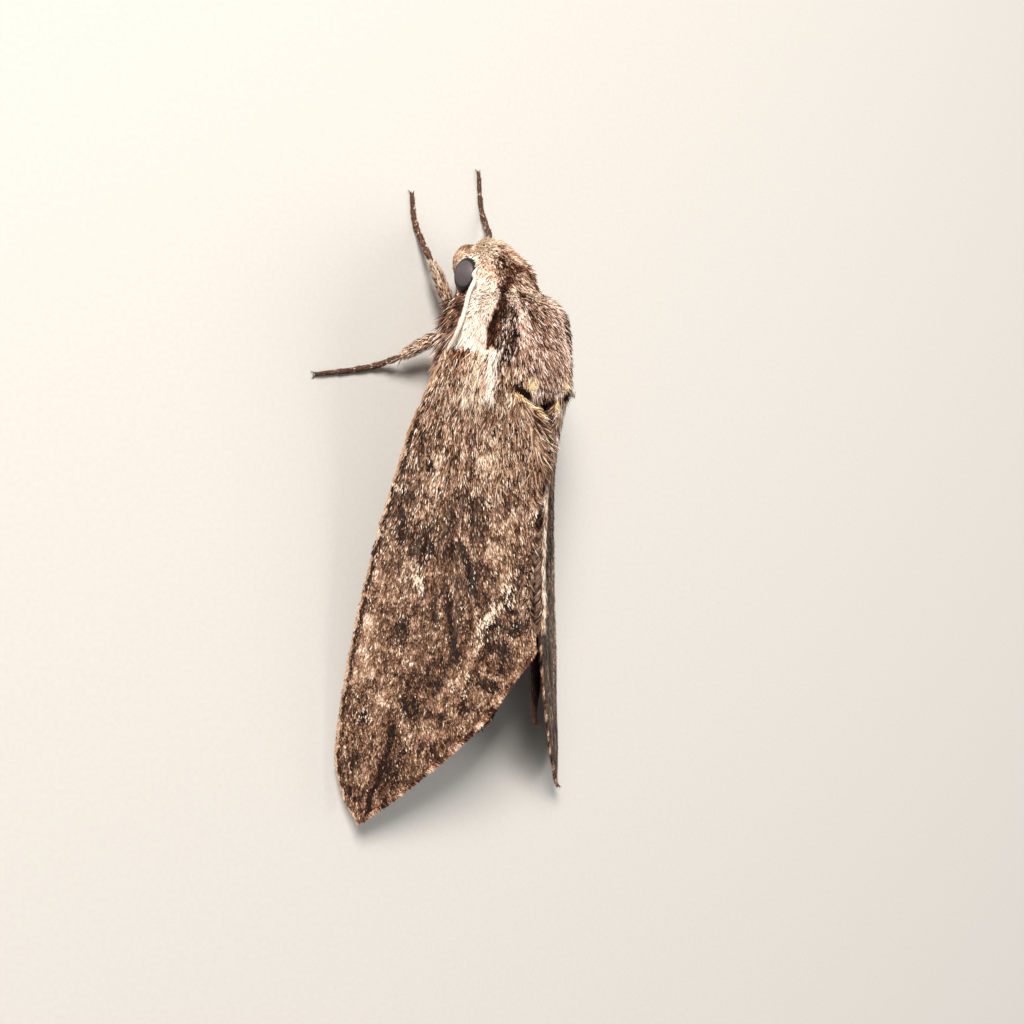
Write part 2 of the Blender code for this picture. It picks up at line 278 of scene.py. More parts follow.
MIDDLE_NODES = ("head", "collar", "thorax", "abdomen", "tail_tuft")
BODY_NODES = (*MIDDLE_NODES, "palp_left", "palp_right", "tegula_left", "tegula_right")
SKIN_GROWTH = 0.18  # how far the solids are grown so that they run together
SKIN_CELL = 0.3  # the width of the skin's squares
SKIN_ROUNDS = 7  # how many times the skin is smoothed
NECK = (4.3, 6.9)  # the run along the body where the head flows into the collar
NECK_ROUNDS = 60  # and how many times more it is smoothed there
# How deep the skin lies inside the solids along the body, and where that differs: on the palps, at the rim of
# each eye's dome, and how much deeper still in the hollow under it.
SKIN_DEPTH = ((-2, 0.3), (1, 0.42), (5, 0.6), (8, 0.72), (18, 0.72), (22, 0.5), (44, 0.5), (46, 0.9))
PALP_DEPTH = 0.26
EYE_RIM_DEPTH = 0.05
EYE_HOLLOW = 0.5
THORAX_START = 5.1  # the along value where the head's fur ends and the thorax's begins
ABDOMEN_START = 19.2
FLANK_TURN = 86.0  # how many degrees round from the back the breast's fur begins

# Tones of the coat from its darkest scales to its palest, which every mark chooses from.
TONES = (0.0, 0.18, 0.36, 0.56, 0.78, 1.0)
TONE_COLOURS = ("#120906", "#341e15", "#664735", "#a57f69", "#e5c8b2", "#fff3e9")

# What each hue does to red, green and blue.
HUES = {
    "brown": (1.0, 1.0, 1.0),
    "tan": (1.02, 0.99, 0.91),
    "peach": (1.08, 0.9, 0.82),
    "cream": (1.0, 0.975, 0.96),
    "russet": (1.06, 0.91, 0.82),
    "rust": (1.18, 0.85, 0.7),
    "pink": (1.01, 0.98, 1.0),
    "grey": (0.96, 1.0, 1.06),
    "slate": (0.9, 0.96, 1.04),
    "yellow": (1.1, 1.0, 0.7),
}

TINT_AT = 0.6  # a hair takes the colour of the mark that lies below this share of its length

PLAIN_COAT = (0.5, 0.15, 1.0, 1.0, 1.0, 1.0, 25.0)  # tone, spread, red, green, blue, length and lift
# The body's coat, laid over it mark by mark. Each row gives where the mark lies along the body and how many
# degrees round from its back, how soft its edge is along and round, then the coat's tone, how much single
# hairs differ from it, its hue, its length and how many degrees it stands up from the skin.
BODY_MARKS = (
    ("head", (-4.0, 5.4), (-1, 181), (0.3, 4), 0.84, 0.16, "peach", 0.6, 26),
    ("face", (-4.0, 1.4), (-1, 104), (0.6, 5), 1.12, 0.22, "peach", 0.9, 38),
    ("brow", (-0.7, 1.8), (-1, 20), (0.6, 8), 0.5, 0.24, "peach", 0.7, 32),
    ("crown", (1.0, 5.4), (-1, 38), (0.6, 9), 0.4, 0.28, "tan", 0.85, 32),
    ("chin", (-4.0, 5.4), (118, 181), (0.3, 5), 0.42, 0.12, "brown", 0.6, 25),
    ("cheek", (0.8, 5.6), (42, 72), (0.7, 6), 0.9, 0.16, "peach", 1.15, 27),
    ("nape", (3.8, 5.3), (40, 92), (0.4, 6), 0.95, 0.1, "cream", 1.5, 24),
    ("eye streak", (0.9, 4.4), (60, 84), (0.4, 4), 1.04, 0.06, "cream", 0.8, 26),
    ("collar", (4.3, 7.0), (-1, 42), (0.4, 5), 0.78, 0.25, "tan", 1.0, 30),
    ("collar ridge", (4.3, 6.6), (-1, 12), (0.4, 6), 0.5, 0.26, "tan", 0.9, 28),
    ("collar spot", (5.2, 6.1), (9, 17), (0.2, 2), 0.16, 0.08, "russet", 0.7, 34),
    ("dorsum", (6.4, 17.6), (-1, 25), (0.4, 5), 0.49, 0.24, "pink", 1.1, 29),
    ("mid dorsum", (9.6, 16.0), (-1, 24), (1.2, 5), 0.57, 0.22, "pink", 1.1, 28),
    ("shoulder", (6.8, 17.2), (25, 58), (0.4, 5), 0.31, 0.34, "grey", 1.15, 27),
    ("rear shoulder", (13.4, 17.2), (18, 44), (0.9, 6), 0.5, 0.26, "tan", 1.15, 28),
    ("flank", (5.0, 19.0), (88, 130), (0.4, 6), 0.36, 0.24, "brown", 2.1, 36),
    ("breast", (3.0, 19.0), (126, 181), (0.4, 6), 0.55, 0.15, "brown", 1.6, 28),
    # The dark russet at the side of the neck is partly the fur's own brown and partly painted shade of the
    # hollow under the antenna.
    ("neck side", (3.2, 9.2), (86, 112), (0.5, 4), 0.24, 0.18, "russet", 0.9, 26),
    ("tan locks", (12.2, 18.0), (55, 70), (0.5, 3), 0.7, 0.24, "tan", 2.0, 15),
    ("rust locks", (12.2, 17.0), (68, 92), (0.5, 3), 0.5, 0.24, "rust", 1.6, 18),
    ("cream locks", (11.8, 17.6), (48.5, 54.5), (0.4, 1.5), 0.97, 0.05, "cream", 2.2, 13),
    ("rear dorsum", (15.2, 17.6), (-1, 25), (0.4, 5), 0.5, 0.24, "pink", 0.8, 24),
    ("yellow patch", (15.0, 16.1), (10, 20), (0.3, 3), 0.84, 0.14, "yellow", 0.9, 26),
    ("rear tuft", (16.2, 18.2), (2, 17), (0.2, 3), 1.0, 0.12, "grey", 1.4, 24),
    ("abdomen", (18.6, 50.0), (-1, 181), (0.3, 4), 0.42, 0.16, "brown", 1.3, 26),
    ("mane", (17.6, 26.0), (-1, 80), (0.3, 6), 0.55, 0.26, "tan", 2.6, 58),
    ("belly", (18.6, 50.0), (110, 181), (0.3, 8), 0.66, 0.12, "tan", 0.9, 18),
    ("abdomen stripe", (20.0, 45.0), (34, 48), (0.5, 4), 0.2, 0.1, "slate", 1.1, 22),
    ("abdomen line", (20.0, 45.0), (-1, 4), (0.5, 2), 0.2, 0.08, "slate", 1.1, 22),
    ("tail", (41.5, 50.0), (-1, 181), (0.6, 4), 0.5, 0.16, "brown", 2.4, 12),
)
# Marks that run along the body as bands: places along it, with how many degrees round from the back the band
# lies there and half its width in degrees, then how soft its edge is and its coat as above.
BODY_BANDS = (
    (
        "dark crown",
        ((1.7, 0, 3), (2.1, 4, 8), (3.0, 12, 9), (3.8, 21, 9), (4.6, 30, 8), (5.3, 35, 5), (5.9, 38, 3)),
        3, 0.24, 0.16, "russet", 0.9, 34,
    ),
    (
        "stripe",
        ((2.4, 68, 1), (3.2, 68, 7), (4.1, 65, 16), (5.2, 65, 20), (6.5, 66, 22), (7.8, 68.5, 20.5),
         (9.1, 71.5, 19.5), (10.6, 75, 20.5), (12.0, 75, 19), (13.4, 76, 6)),
        4, 0.97, 0.13, "cream", 1.0, 22,
    ),
    (
        "stripe neck",
        ((3.0, 68, 6), (4.1, 65, 15), (5.2, 65, 19), (5.9, 65.5, 20)),
        4, 0.96, 0.14, "cream", 1.45, 27,
    ),
    (
        "stripe end",
        ((11.2, 70, 8), (12.2, 73, 17), (13.4, 76, 6)),
        4, 0.96, 0.1, "cream", 1.7, 34,
    ),
    (
        # This dark russet line is painted shadow along the inner edge of the stripe, where it meets the dark
        # shoulder.
        "shoulder line",
        ((5.8, 37, 2), (6.4, 40, 5), (6.9, 42, 6), (7.9, 44.5, 6.5), (9.1, 48, 6), (10.7, 51, 5),
         (11.9, 54, 1)),
        2, 0.14, 0.14, "russet", 0.9, 22,
    ),
    (
        "white band",
        ((5.9, 27, 1), (6.6, 25, 4.6), (7.8, 22, 5.6), (9.3, 20, 6), (10.7, 19, 6), (11.8, 23, 4.6),
         (12.7, 26, 1)),
        2.6, 0.75, 0.18, "pink", 1.0, 24,
    ),
)
PATTERN_ROLL = 14.0  # on the right side the marks lie this many degrees further round
HEAD_ROLL = 14.0  # and on the head by this many more
# The black bar across the thorax's rear and the pale fringe behind it: the bar's along value on the back, how
# far forward it has come when it is this many degrees round, half its width, and where it ends.
REAR_ARC = (17.55, 1.4, 30.0)
REAR_ARC_WIDTH = 0.62
REAR_ARC_REACH = 32.0
# The abdomen's rings: where the first one starts, how long each is, and how much paler its rear edge is.
BODY_RINGS = (18.2, 3.9, 0.09)

# Marks on the forewing. Each row gives its place along and across the wing, its length and width, how many
# degrees it is turned towards the inner margin, and how much darker (below 0) or paler (above 0) it makes it.
WING_MARKS = (
    (8.3, -1.9, 1.5, 0.5, 0, -0.3),  # dark dashes behind the front edge
    (10.6, -0.7, 0.9, 0.5, 10, -0.3),
    (15.3, -2.5, 2.0, 0.9, 0, -0.32),
    (18.7, -2.1, 1.6, 0.7, 5, -0.22),
    (19.5, 0.4, 1.5, 1.1, 15, -0.42),
    (16.6, 1.0, 2.4, 0.8, 30, -0.14),
    (10.4, 3.9, 1.4, 0.5, 10, -0.32),
    (14.0, 5.4, 1.4, 1.0, 20, -0.32),
    (14.6, 3.1, 1.8, 0.9, 10, -0.16),
    (19.2, 4.8, 1.6, 0.24, 30, -0.9),  # the two black streaks of the middle
    (21.8, 6.3, 2.2, 0.3, 30, -0.9),
    (25.6, 4.7, 1.9, 0.24, 16, -0.9),
    (28.8, 5.9, 2.0, 0.27, 22, -0.8),
    (28.9, 0.2, 1.7, 0.7, 10, -0.32),
    (32.2, -0.6, 2.4, 1.3, 0, -0.14),
    (24.0, 6.0, 6.0, 2.6, 18, -0.12),  # the dark middle of the wing
    (31.0, 4.0, 5.0, 3.4, 20, -0.12),
    (20.4, 12.0, 2.2, 1.2, 5, -0.24),
    (37.0, 2.9, 1.8, 1.0, 15, -0.34),
    (39.5, -2.1, 1.6, 1.1, 0, -0.26),
    (44.2, -2.1, 1.2, 0.7, 5, -0.4),
    (44.0, 2.4, 2.6, 1.1, -8, -0.26),  # the shade behind the black line of the tip
    (24.1, 11.3, 0.9, 0.45, 60, -0.42),  # the two broken black bands before the inner corner
    (26.3, 9.8, 0.9, 0.5, -35, -0.45),
    (28.9, 9.7, 1.5, 0.5, 0, -0.42),
    (26.1, 12.4, 0.7, 1.3, 10, -0.55),
    (28.2, 11.2, 0.9, 0.6, 30, -0.42),
    (30.4, 11.6, 1.2, 0.5, 0, -0.32),
    (33.0, 10.6, 0.6, 1.2, 0, -0.34),
    (35.8, 8.4, 1.0, 0.5, 10, -0.32),
    (32.6, 8.6, 1.4, 0.5, -20, -0.3),
    (40.6, 6.6, 2.2, 0.7, -30, -0.12),
    (23.4, 0.9, 0.8, 0.36, 28, 0.34),  # the white spot of the middle
    (9.6, 4.9, 0.9, 0.35, 0, 0.21),
    (12.4, 4.9, 0.8, 0.5, 0, 0.18),
    (18.0, 7.8, 1.1, 0.7, 20, 0.15),
    (22.6, 10.5, 0.9, 0.45, 40, 0.21),  # the white zigzag before the inner corner
    (24.4, 9.8, 1.3, 0.36, -30, 0.23),
    (27.0, 8.8, 1.6, 0.4, -6, 0.21),
    (30.2, 8.2, 1.8, 0.5, -15, 0.14),
    (33.0, 7.3, 1.3, 0.7, -20, 0.15),
    (27.2, 13.5, 1.8, 0.9, 20, 0.1),
    (35.6, -0.9, 2.6, 1.2, 0, 0.16),
    (13.5, 9.0, 4.6, 2.0, 8, 0.12),  # the paler tan towards the ridge
    (8.0, 6.5, 3.5, 2.6, 10, 0.08),
    (49.0, -0.9, 4.2, 1.2, 18, 0.03),  # the pale wedge at the tip
    (44.6, -0.5, 2.6, 1.0, 10, 0.04),
    (26.0, -2.6, 7.0, 1.6, -4, 0.1),
    (41.0, 8.2, 3.0, 0.6, -38, 0.14),
)
CRISP_MARK = -0.7  # marks darker than this are drawn as clean black streaks
FAINT_MARK = 0.2  # marks weaker than this only shade the scales; stronger ones mix in dark or pale scales
MARK_DEPTH = 2.8  # the share of scales that a strong mark changes, for each 1 of its strength
STREAK_DEPTH = 2.0  # and that a clean black streak changes
RIM_WIDTH = 0.42  # the smooth strip along the front edge
RIM_TONE = 0.68
GUTTER = (0.2, 0.16)  # how far behind the rim the dark line along it lies, and how wide that line is
SCALLOP = 3.1  # the length of one dark and one pale run of the outer margin's fringe
DARK_SCALE = 0.08  # the tones of the dark and of the pale scales that the marks mix in
PALE_SCALE = 0.93
UNDERSIDE_TONE = 0.5
MEMBRANE_DARK = 0.1  # the membrane's tones under the marks' dark scales and under their pale ones
MEMBRANE_PALE = 0.9
MEMBRANE_SHADE = -0.24  # how much darker the membrane is than its scales
SKIN_SHADE = -0.2  # and the body's skin than its hairs

BOTH = ("left", "right")
# Hair on the forewings. Each row gives which wings it is on, the run along them, whether the run across is
# counted from the hinge or from the rear edge, that run, how many hairs it has, their length, their lift and
# their turn inwards in degrees, their tone, how much it differs from hair to hair, how much the fringe's dark
# and pale runs change it, and their hue.
WING_LOCKS = (
    (BOTH, (-1.0, 4.5), "hinge", (-1.4, 3.8), 3600, 1.5, 15, 6, 0.52, 0.26, 0.0, "tan"),
    (BOTH, (-0.6, 4.5), "hinge", (3.6, 5.6), 1300, 1.5, 15, 6, 0.5, 0.27, 0.0, "tan"),
    (BOTH, (3.0, 5.5), "hinge", (5.2, 8.4), 1300, 1.5, 15, 10, 0.5, 0.27, 0.0, "tan"),
    (("left",), (2.6, 13.0), "edge", (-4.6, -0.4), 4200, 1.3, 13, 24, 0.43, 0.26, 0.0, "tan"),
    (BOTH, (2.2, 9.0), "edge", (-1.1, -0.1), 1500, 2.2, 10, 38, 0.48, 0.26, 0.0, "tan"),
    (BOTH, (1.8, 3.1), "edge", (-0.5, -0.05), 420, 0.8, 20, 52, 0.74, 0.22, 0.0, "yellow"),
    (("left",), (3.0, 3.8), "edge", (-0.5, -0.05), 260, 1.3, 16, 62, 0.7, 0.24, 0.0, "yellow"),
    (("right",), (2.2, 3.6), "edge", (-0.5, -0.05), 420, 1.0, 22, 48, 0.86, 0.16, 0.0, "yellow"),
    (BOTH, (-1.4, 0.9), "hinge", (-0.2, 1.6), 220, 1.3, 20, 0, 0.5, 0.24, 0.0, "rust"),
    (BOTH, (-1.3, 2.9), "hinge", (1.6, 3.6), 1300, 1.8, 17, 4, 0.76, 0.22, 0.0, "tan"),
    (BOTH, (-2.4, 1.9), "hinge", (4.0, 4.6), 460, 1.8, 16, 2, 0.98, 0.1, 0.0, "cream"),
    (("left",), (1.0, 26.0), "edge", (-0.9, -0.1), 4300, 1.0, 1, 10, 0.4, 0.24, 0.0, "brown"),
    (BOTH, (1.0, 26.0), "edge", (-0.3, -0.05), 3000, 1.3, -28, 20, 0.42, 0.2, 0.0, "brown"),
    # The right wing's inner margin has paler hair than the left's: tan hair with a painted highlight of its
    # raised, lit edge.
    (("right",), (1.5, 26.0), "edge", (-1.6, -0.15), 4600, 1.2, 10, 16, 0.74, 0.28, 0.0, "tan"),
    (BOTH, (27.8, SPAN - 0.4), "edge", (-0.5, -0.2), 3200, 0.5, 2, 55, 0.42, 0.2, 0.24, "russet"),
)
# The black line that runs in from the tip, as places along the wing and across it.
TIP_LINE = ((39.8, 1.3), (41.7, 1.5), (44.0, 1.15), (46.1, 1.05), (47.5, 0.5), (48.8, 0.75), (50.6, 0.6))
TIP_LINE_WIDTH = 0.24
TIP_LINE_DEPTH = 2.4

# The forewing's scales along the wing: their length, width, lift in degrees, and how much their tones differ.
SCALE_LENGTH = ((0, 1.3), (4, 1.1), (10, 0.95), (18, 0.78), (26, 0.6), (34, 0.46), (SPAN, 0.38))
SCALE_WIDTH = ((0, 0.13), (16, 0.14), (26, 0.145), (34, 0.14), (SPAN, 0.13))
SCALE_LIFT = ((0, 23), (10, 18), (26, 14), (SPAN, 12))
SCALE_SPREAD = ((0, 0.24), (14, 0.2), (22, 0.17), (30, 0.145), (SPAN, 0.13))
WING_TONE = ((0, 0.55), (8, 0.51), (14, 0.42), (22, 0.38), (28, 0.44), (36, 0.46), (44, 0.38), (SPAN, 0.39))

# The stage, in metres: lights as name, place, what they face, width, watts and colour.
FLOOR_WIDTH = 4.0
LIGHTS = (
    ("key", (0.28, -0.33, 0.42), (0.0, 0.0, 0.01), 0.2, 5.1, "#fff8f0"),
    ("fill", (-0.42, 0.12, 0.46), (0.0, 0.0, 0.01), 0.4, 1.3, "#fbf9f6"),
)
CAMERA_PLACE = (0.08044, 0.0034, 0.11832)
CAMERA_AXES = ((-0.7986, 0, 0.6018), (0, -1, 0), (0.6018, 0, 0.7986))  # its right, its up and its back
CAMERA_LENS = 42.5  # in millimetres, over a sensor this wide
CAMERA_SENSOR = 36.0
NEAREST_SEEN = 0.005
DAYLIGHT = ("#f2f1ef", 0.28)  # the colour and strength of the light from all round

SPIKE_FACES = np.array(((0, 1, 2), (0, 3, 1), (0, 2, 3), (4, 2, 1), (4, 1, 3), (4, 3, 2)))
SCALE_FACES = np.array(((0, 3, 1), (0, 2, 3), (0, 1, 2), (3, 2, 1)))
SPIKE_PAINTED_LIGHT = (0.05, 0.58, 0.58, 0.85, 1.55)  # how dark each corner of a hair is, from root to tip: painted shade at the root, where the hairs shade each other, and a painted highlight at the tip, which also stands for the hairs' own paler tips
# The same for a scale's corners: painted shade at its root and a painted highlight at its tip.
SCALE_PAINTED_LIGHT = (0.08, 0.72, 0.72, 1.36)
DEEP_WARMTH = (0.88, 1.04, 1.24)  # light that has sunk between the hairs comes back warmer
GLOW = 0.62  # how far that shading is taken back in the palest tufts, which light passes through
GLOW_FROM = (0.42, 0.82)  # from none of it to all of it between these two brightnesses
ROOT_DEPTH = 0.08  # how far below the skin a tuft starts, as a share of its length
HAIR_BELLY = 0.42  # where along its length a hair is widest
SCALE_BELLY = 0.58  # and a scale
SCALE_CURL = 0.45  # how far a scale's sides are drawn down, as a share of half its width
PATCH = 0.0015  # half the width of a tuft's patch on the unwrap
BODY_UNWRAP = (-3, 52)  # the along value where the body's unwrap starts, and how long it is
WING_UNWRAP = (-6, 23)  # the place across a wing where its unwrap starts, and how wide it is


def linear(code):
    """A colour's sRGB hex code as linear red, green and blue."""
    parts = [int(code[i : i + 2], 16) / 255 for i in (1, 3, 5)]
    return tuple(p / 12.92 if p <= 0.04045 else ((p + 0.055) / 1.055) ** 2.4 for p in parts)


def ease(values, low, high):
    """Runs smoothly from 0 at low to 1 at high."""
    share = np.clip((values - low) / (high - low), 0, 1)
    return share * share * (3 - 2 * share)


def between(values, low, high, soft):
    """1 from low to high and 0 outside, with soft edges."""
    return ease(values, low - soft, low + soft) * (1 - ease(values, high - soft, high + soft))


def unit(vectors):
    """These vectors, each made 1 long."""
    return vectors / np.maximum(np.linalg.norm(vectors, axis=-1, keepdims=True), 1e-9)


def smooth_line(points, at):
    """A smooth line through (x, y) points, read at these x. Each point's neighbours give its slope there."""
    xs, ys = np.array(points, float).T
    last = len(xs) - 1
    at = np.clip(at, xs[0], xs[-1])
    before = np.maximum(np.arange(last + 1) - 1, 0)
    after = np.minimum(np.arange(last + 1) + 1, last)
    slopes = (ys[after] - ys[before]) / (xs[after] - xs[before])
    i = np.clip(np.searchsorted(xs, at, side="right") - 1, 0, last - 1)
    width = xs[i + 1] - xs[i]
    share = (at - xs[i]) / width
    rise = ys[i + 1] - ys[i]
    start = slopes[i] * width - rise
    end = rise - slopes[i + 1] * width
    return ys[i] + rise * share + share * (1 - share) * (start * (1 - share) + end * share)


def straight_line(points, at):
    """A line of straight runs through (x, y) points, read at these x."""
    xs, ys = np.array(points, float).T
    return np.interp(at, xs, ys)


def noise(places, lump, seed):
    """Soft random values from -1 to 1 over these places, in lumps of this size."""
    cell = places / lump
    corner = np.floor(cell).astype(np.int64)
    part = cell - corner
    part = part * part * (3 - 2 * part)
    total = np.zeros(len(places))
    for step in itertools.product((0, 1), repeat=places.shape[1]):
        spot = corner + step
        mixed = np.full(len(places), seed * 2654435761, np.int64)
        for axis, prime in zip(range(places.shape[1]), (73856093, 19349663, 83492791)):
            mixed ^= spot[:, axis] * prime
        mixed = (mixed ^ (mixed >> 13)) * 1274126177 & 0xFFFFFFFF
        mixed = (mixed ^ (mixed >> 16)) & 0xFFFF
        weight = np.prod(np.where(np.array(step), part, 1 - part), axis=1)
        total += weight * (mixed / 32767.5 - 1)
    return total


def turned(vectors, axis, degrees):
    """These vectors turned about a unit axis."""
    angle = math.radians(degrees)
    kept = np.outer(vectors @ axis, axis) * (1 - math.cos(angle))
    return vectors * math.cos(angle) + np.cross(axis, vectors) * math.sin(angle) + kept


def in_frame(places):
    """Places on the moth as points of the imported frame, in metres."""
    return (places - (0.0, MIDDLE_ALONG, 0.0)) * MM


def on_moth(points):
    """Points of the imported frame, in metres, as places on the moth."""
    return points / MM + (0.0, MIDDLE_ALONG, 0.0)


def tone_colours(tones, hues):
    """The linear colours of these tones, shifted by their hues."""
    chosen = bpy.context.scene.hawk_moth_colours
    palette = np.array([getattr(chosen, f"tone_{k}") for k in range(len(TONES))])
    tones = np.clip(tones, 0, 1)
    base = np.stack([np.interp(tones, TONES, palette[:, k]) for k in range(3)], axis=1)
    return np.clip(base * hues, 0.002, 0.95)


# ---- the wings' shape ----


def wing_axes():
    """The left forewing's span, its cross direction towards the inner margin, and its outward normal."""
    span = unit(WING_TIP - HINGE)
    outward = unit(np.cross(WING_TIP - HINGE, INNER_CORNER - HINGE))
    return span, np.cross(outward, span), outward


def wing_edges(wing, s):
    """Where a wing's leading and trailing edges lie across it, at these places along it."""
    return smooth_line(wing["leading"], s), smooth_line(wing["trailing"], s)


def wing_relief(wing, s, t):
    """How far veins and soft buckles lift the membrane."""
    lead, trail = wing_edges(wing, s)
    width = np.maximum(trail - lead, 0.3)
    share = (t - lead) / width
    spread = ease(s, *VEINS_PART)
    relief = BUCKLE_HEIGHT * noise(np.stack([s * 0.5, t], axis=1), BUCKLE_WIDTH, SEED)
    for at_root, at_margin in VEINS:
        away = (share - at_root - (at_margin - at_root) * spread) * width
        relief = relief + VEIN_HEIGHT * np.exp(-((away / VEIN_WIDTH) ** 2)) * ease(s, *VEINS_RISE)
    return relief


def wing_places(wing, side, s, t, depth):
    """Places on a wing, this deep below its solid's outer face."""
    span, across, outward = wing_axes()
    fall = DROOP[side] * (RIDGE_ACROSS - t) * (1 - TIP_LIFT * (s / SPAN) ** 4)
    fall = fall + wing["depth"] + SINK[side] + depth
    rise = ROOT_RISE * np.exp(-((s / ROOT_REACH) ** 2)) - fall + wing_relief(wing, s, t)
    places = HINGE + s[:, None] * span + t[:, None] * across + rise[:, None] * outward
    return places * (SIDES[side], 1, 1)


def wing_grid(wing, side, start):
    """The membrane of a wing: an outer and an inner grid of squares joined round their edge."""
    columns, rows = MEMBRANE_SQUARES
    end = wing["leading"][-1][0]
    run = np.sin(np.linspace(0, 1, columns) * math.pi / 2)
    s = start + (end - start - 0.05) * run
    lead, trail = wing_edges(wing, s)
    deep, long = MARGIN_SCALLOP
    scallop = deep * np.cos(s * 2 * math.pi / long) * ease(s, 0.6 * end, 0.7 * end)
    share = 0.5 - 0.5 * np.cos(np.linspace(0, 1, rows) * math.pi)
    share = 0.35 * share + 0.65 * np.linspace(0, 1, rows)
    edge = WING_COAT_DEPTH
    t = (lead + edge)[:, None] + (trail - lead - 2 * edge + scallop)[:, None] * share[None, :]
    s = np.repeat(s, rows)
    t = t.ravel()
    thin = np.minimum(ease(np.tile(share, columns), 0, 0.05), 1 - ease(np.tile(share, columns), 0.9, 1))
    outer = wing_places(wing, side, s, t, np.full(len(s), WING_COAT_DEPTH))
    inner = wing_places(wing, side, s, t, WING_COAT_DEPTH + WING_MEMBRANE * (0.35 + 0.65 * thin))
    index = np.arange(columns * rows).reshape(columns, rows)
    top = np.stack([index[:-1, :-1], index[1:, :-1], index[1:, 1:], index[:-1, 1:]], axis=-1)
    top = top.reshape(-1, 4)
    under = top[:, ::-1] + columns * rows
    rim = np.concatenate([index[:, 0], index[-1, 1:], index[-2::-1, -1], index[0, -2:0:-1]])
    after = np.roll(rim, -1)
    wall = np.stack([after, rim, rim + columns * rows, after + columns * rows], axis=1)
    faces = np.concatenate([top, under, wall])
    if side == "right":
        faces = faces[:, ::-1]
    return np.concatenate([outer, inner]), faces, np.tile(s, 2), np.tile(t, 2)


# ---- the wings' markings ----


def marked(s, t, spot):
    """What the marks do at places on a wing: a shift of tone, and the shares of dark, pale and black scales.

    s and t are the places moved about a little, so that the marks' edges are ragged, and spot the places as
    they are, which the clean streaks follow more closely.
    """
    shift, dark, pale, black = np.zeros((4, len(s)))
    for along, across, length, width, turn, strength in WING_MARKS:
        angle = math.radians(turn)
        crisp = strength < CRISP_MARK
        ds = (0.7 * spot[:, 0] + 0.3 * s if crisp else s) - along
        dt = (0.7 * spot[:, 1] + 0.3 * t if crisp else t) - across
        u = (ds * math.cos(angle) + dt * math.sin(angle)) / length
        v = (dt * math.cos(angle) - ds * math.sin(angle)) / width
        mark = abs(strength) * np.exp(-((0.8 * (u**2 + v**2)) ** 1.2))
        if abs(strength) < FAINT_MARK:
            shift += math.copysign(1, strength) * mark
        elif crisp:
            black += STREAK_DEPTH * mark
        elif strength < 0:
            dark += MARK_DEPTH * mark
        else:
            pale += MARK_DEPTH * mark
    return shift, dark, pale, black


def wing_tones(wing, s, t):
    """The tone and hue of a wing's scales at these places on it, and the shares that are dark and pale."""
    spot = np.stack([s, t], axis=1)
    s = s + 0.4 * noise(spot, 0.9, SEED + 1) + 0.2 * noise(spot, 0.35, SEED + 7)
    t = t + 0.22 * noise(spot, 0.8, SEED + 2) + 0.1 * noise(spot, 0.3, SEED + 8)
    lead, trail = wing_edges(wing, s)
    if wing is HINDWING:
        share = np.clip((t - lead) / np.maximum(trail - lead, 0.3), 0, 1)
        tone = 0.22 + 0.1 * share + 0.1 * ease(s, 35, 38)
        return tone, np.tile(HUES["rust"], (len(s), 1)), np.zeros(len(s)), np.zeros(len(s))

    # The grain of the coat, from streaks along the wing down to single flecks.
    streaks = noise(np.stack([s / 3.2, t / 0.42], axis=1), 1.0, SEED + 3)
    grains = noise(spot, 0.55, SEED + 4)
    blotches = noise(spot, 1.7, SEED + 5)
    flecks = noise(np.stack([s / 3, t], axis=1), 0.24, SEED + 6)
    ragged = 0.25 + 1.2 * ease(flecks + 0.6 * streaks + 0.3 * grains, -0.55, 0.55)
    outer = ease(s, 18, 30)

    # The marks, and the black line to the tip.
    shift, dark, pale, black = marked(s, t, spot)
    away = spot[:, 1] - straight_line(TIP_LINE, spot[:, 0]) - 0.1 * noise(spot, 0.7, SEED + 9)
    tip_line = TIP_LINE_DEPTH * np.exp(-((away / TIP_LINE_WIDTH) ** 2)) * between(s, 39.6, 51, 0.5)
    dark, pale = dark * ragged + tip_line + black * (0.4 + 0.6 * ragged), pale * ragged
    tone = straight_line(WING_TONE, s) + shift
    tone = tone + 0.07 * streaks * (1 - 0.4 * outer) + 0.08 * grains + 0.06 * blotches + 0.2 * flecks
    dark = dark + 0.35 * ease(-blotches - 0.35 * grains, 0.35, 0.9)
    pale = pale + 0.2 * ease(blotches + 0.5 * grains, 0.5, 1.1) + 0.12 * ease(streaks, 0.4, 0.9) * (1 - outer)

    # The front edge: faint lines beside it, a smooth pale rim, and a dark line behind the rim.
    costal = np.cos((t - lead) * 2 * math.pi / 0.62) * (1 - ease(t - lead, 1.4, 2.6)) * between(s, 22, 48, 3)
    tone = tone + 0.09 * costal
    rim = 1 - ease(t - lead, RIM_WIDTH - 0.1, RIM_WIDTH + 0.1)
    tone = tone * (1 - rim) + rim * (RIM_TONE + 0.05 * streaks)
    dark, pale = dark * (1 - 0.8 * rim), pale * (1 - rim)
    behind, width = GUTTER
    dark = dark + 0.9 * np.exp(-(((t - lead - RIM_WIDTH - behind) / width) ** 2)) * between(s, 4, 47, 2)

    # The outer margin's chequered fringe, and the redder wing root.
    fringe = ease(t - trail, -0.6, -0.35) * ease(s, 27.5, 29)
    scallops = ease(np.cos(s * 2 * math.pi / SCALLOP), 0.1, 0.7)
    tone = tone * (1 - fringe) + fringe * (0.3 + 0.35 * scallops)
    base = (1 - ease(s, 4, 12)) * (1 - ease(t, 1.5, 5))
    tone = tone - 0.08 * base
    hue = np.tile(HUES["tan"], (len(s), 1))
    hue = hue * (1 - 0.45 * base[:, None] * (1 - np.array(HUES["russet"])))
    hue = hue * (1 - 0.7 * (fringe * (1 - scallops))[:, None] * (1 - np.array(HUES["rust"])))
    return tone, hue, np.clip(dark, 0, 0.95), np.clip(pale, 0, 0.95)


# ---- the body's coat ----


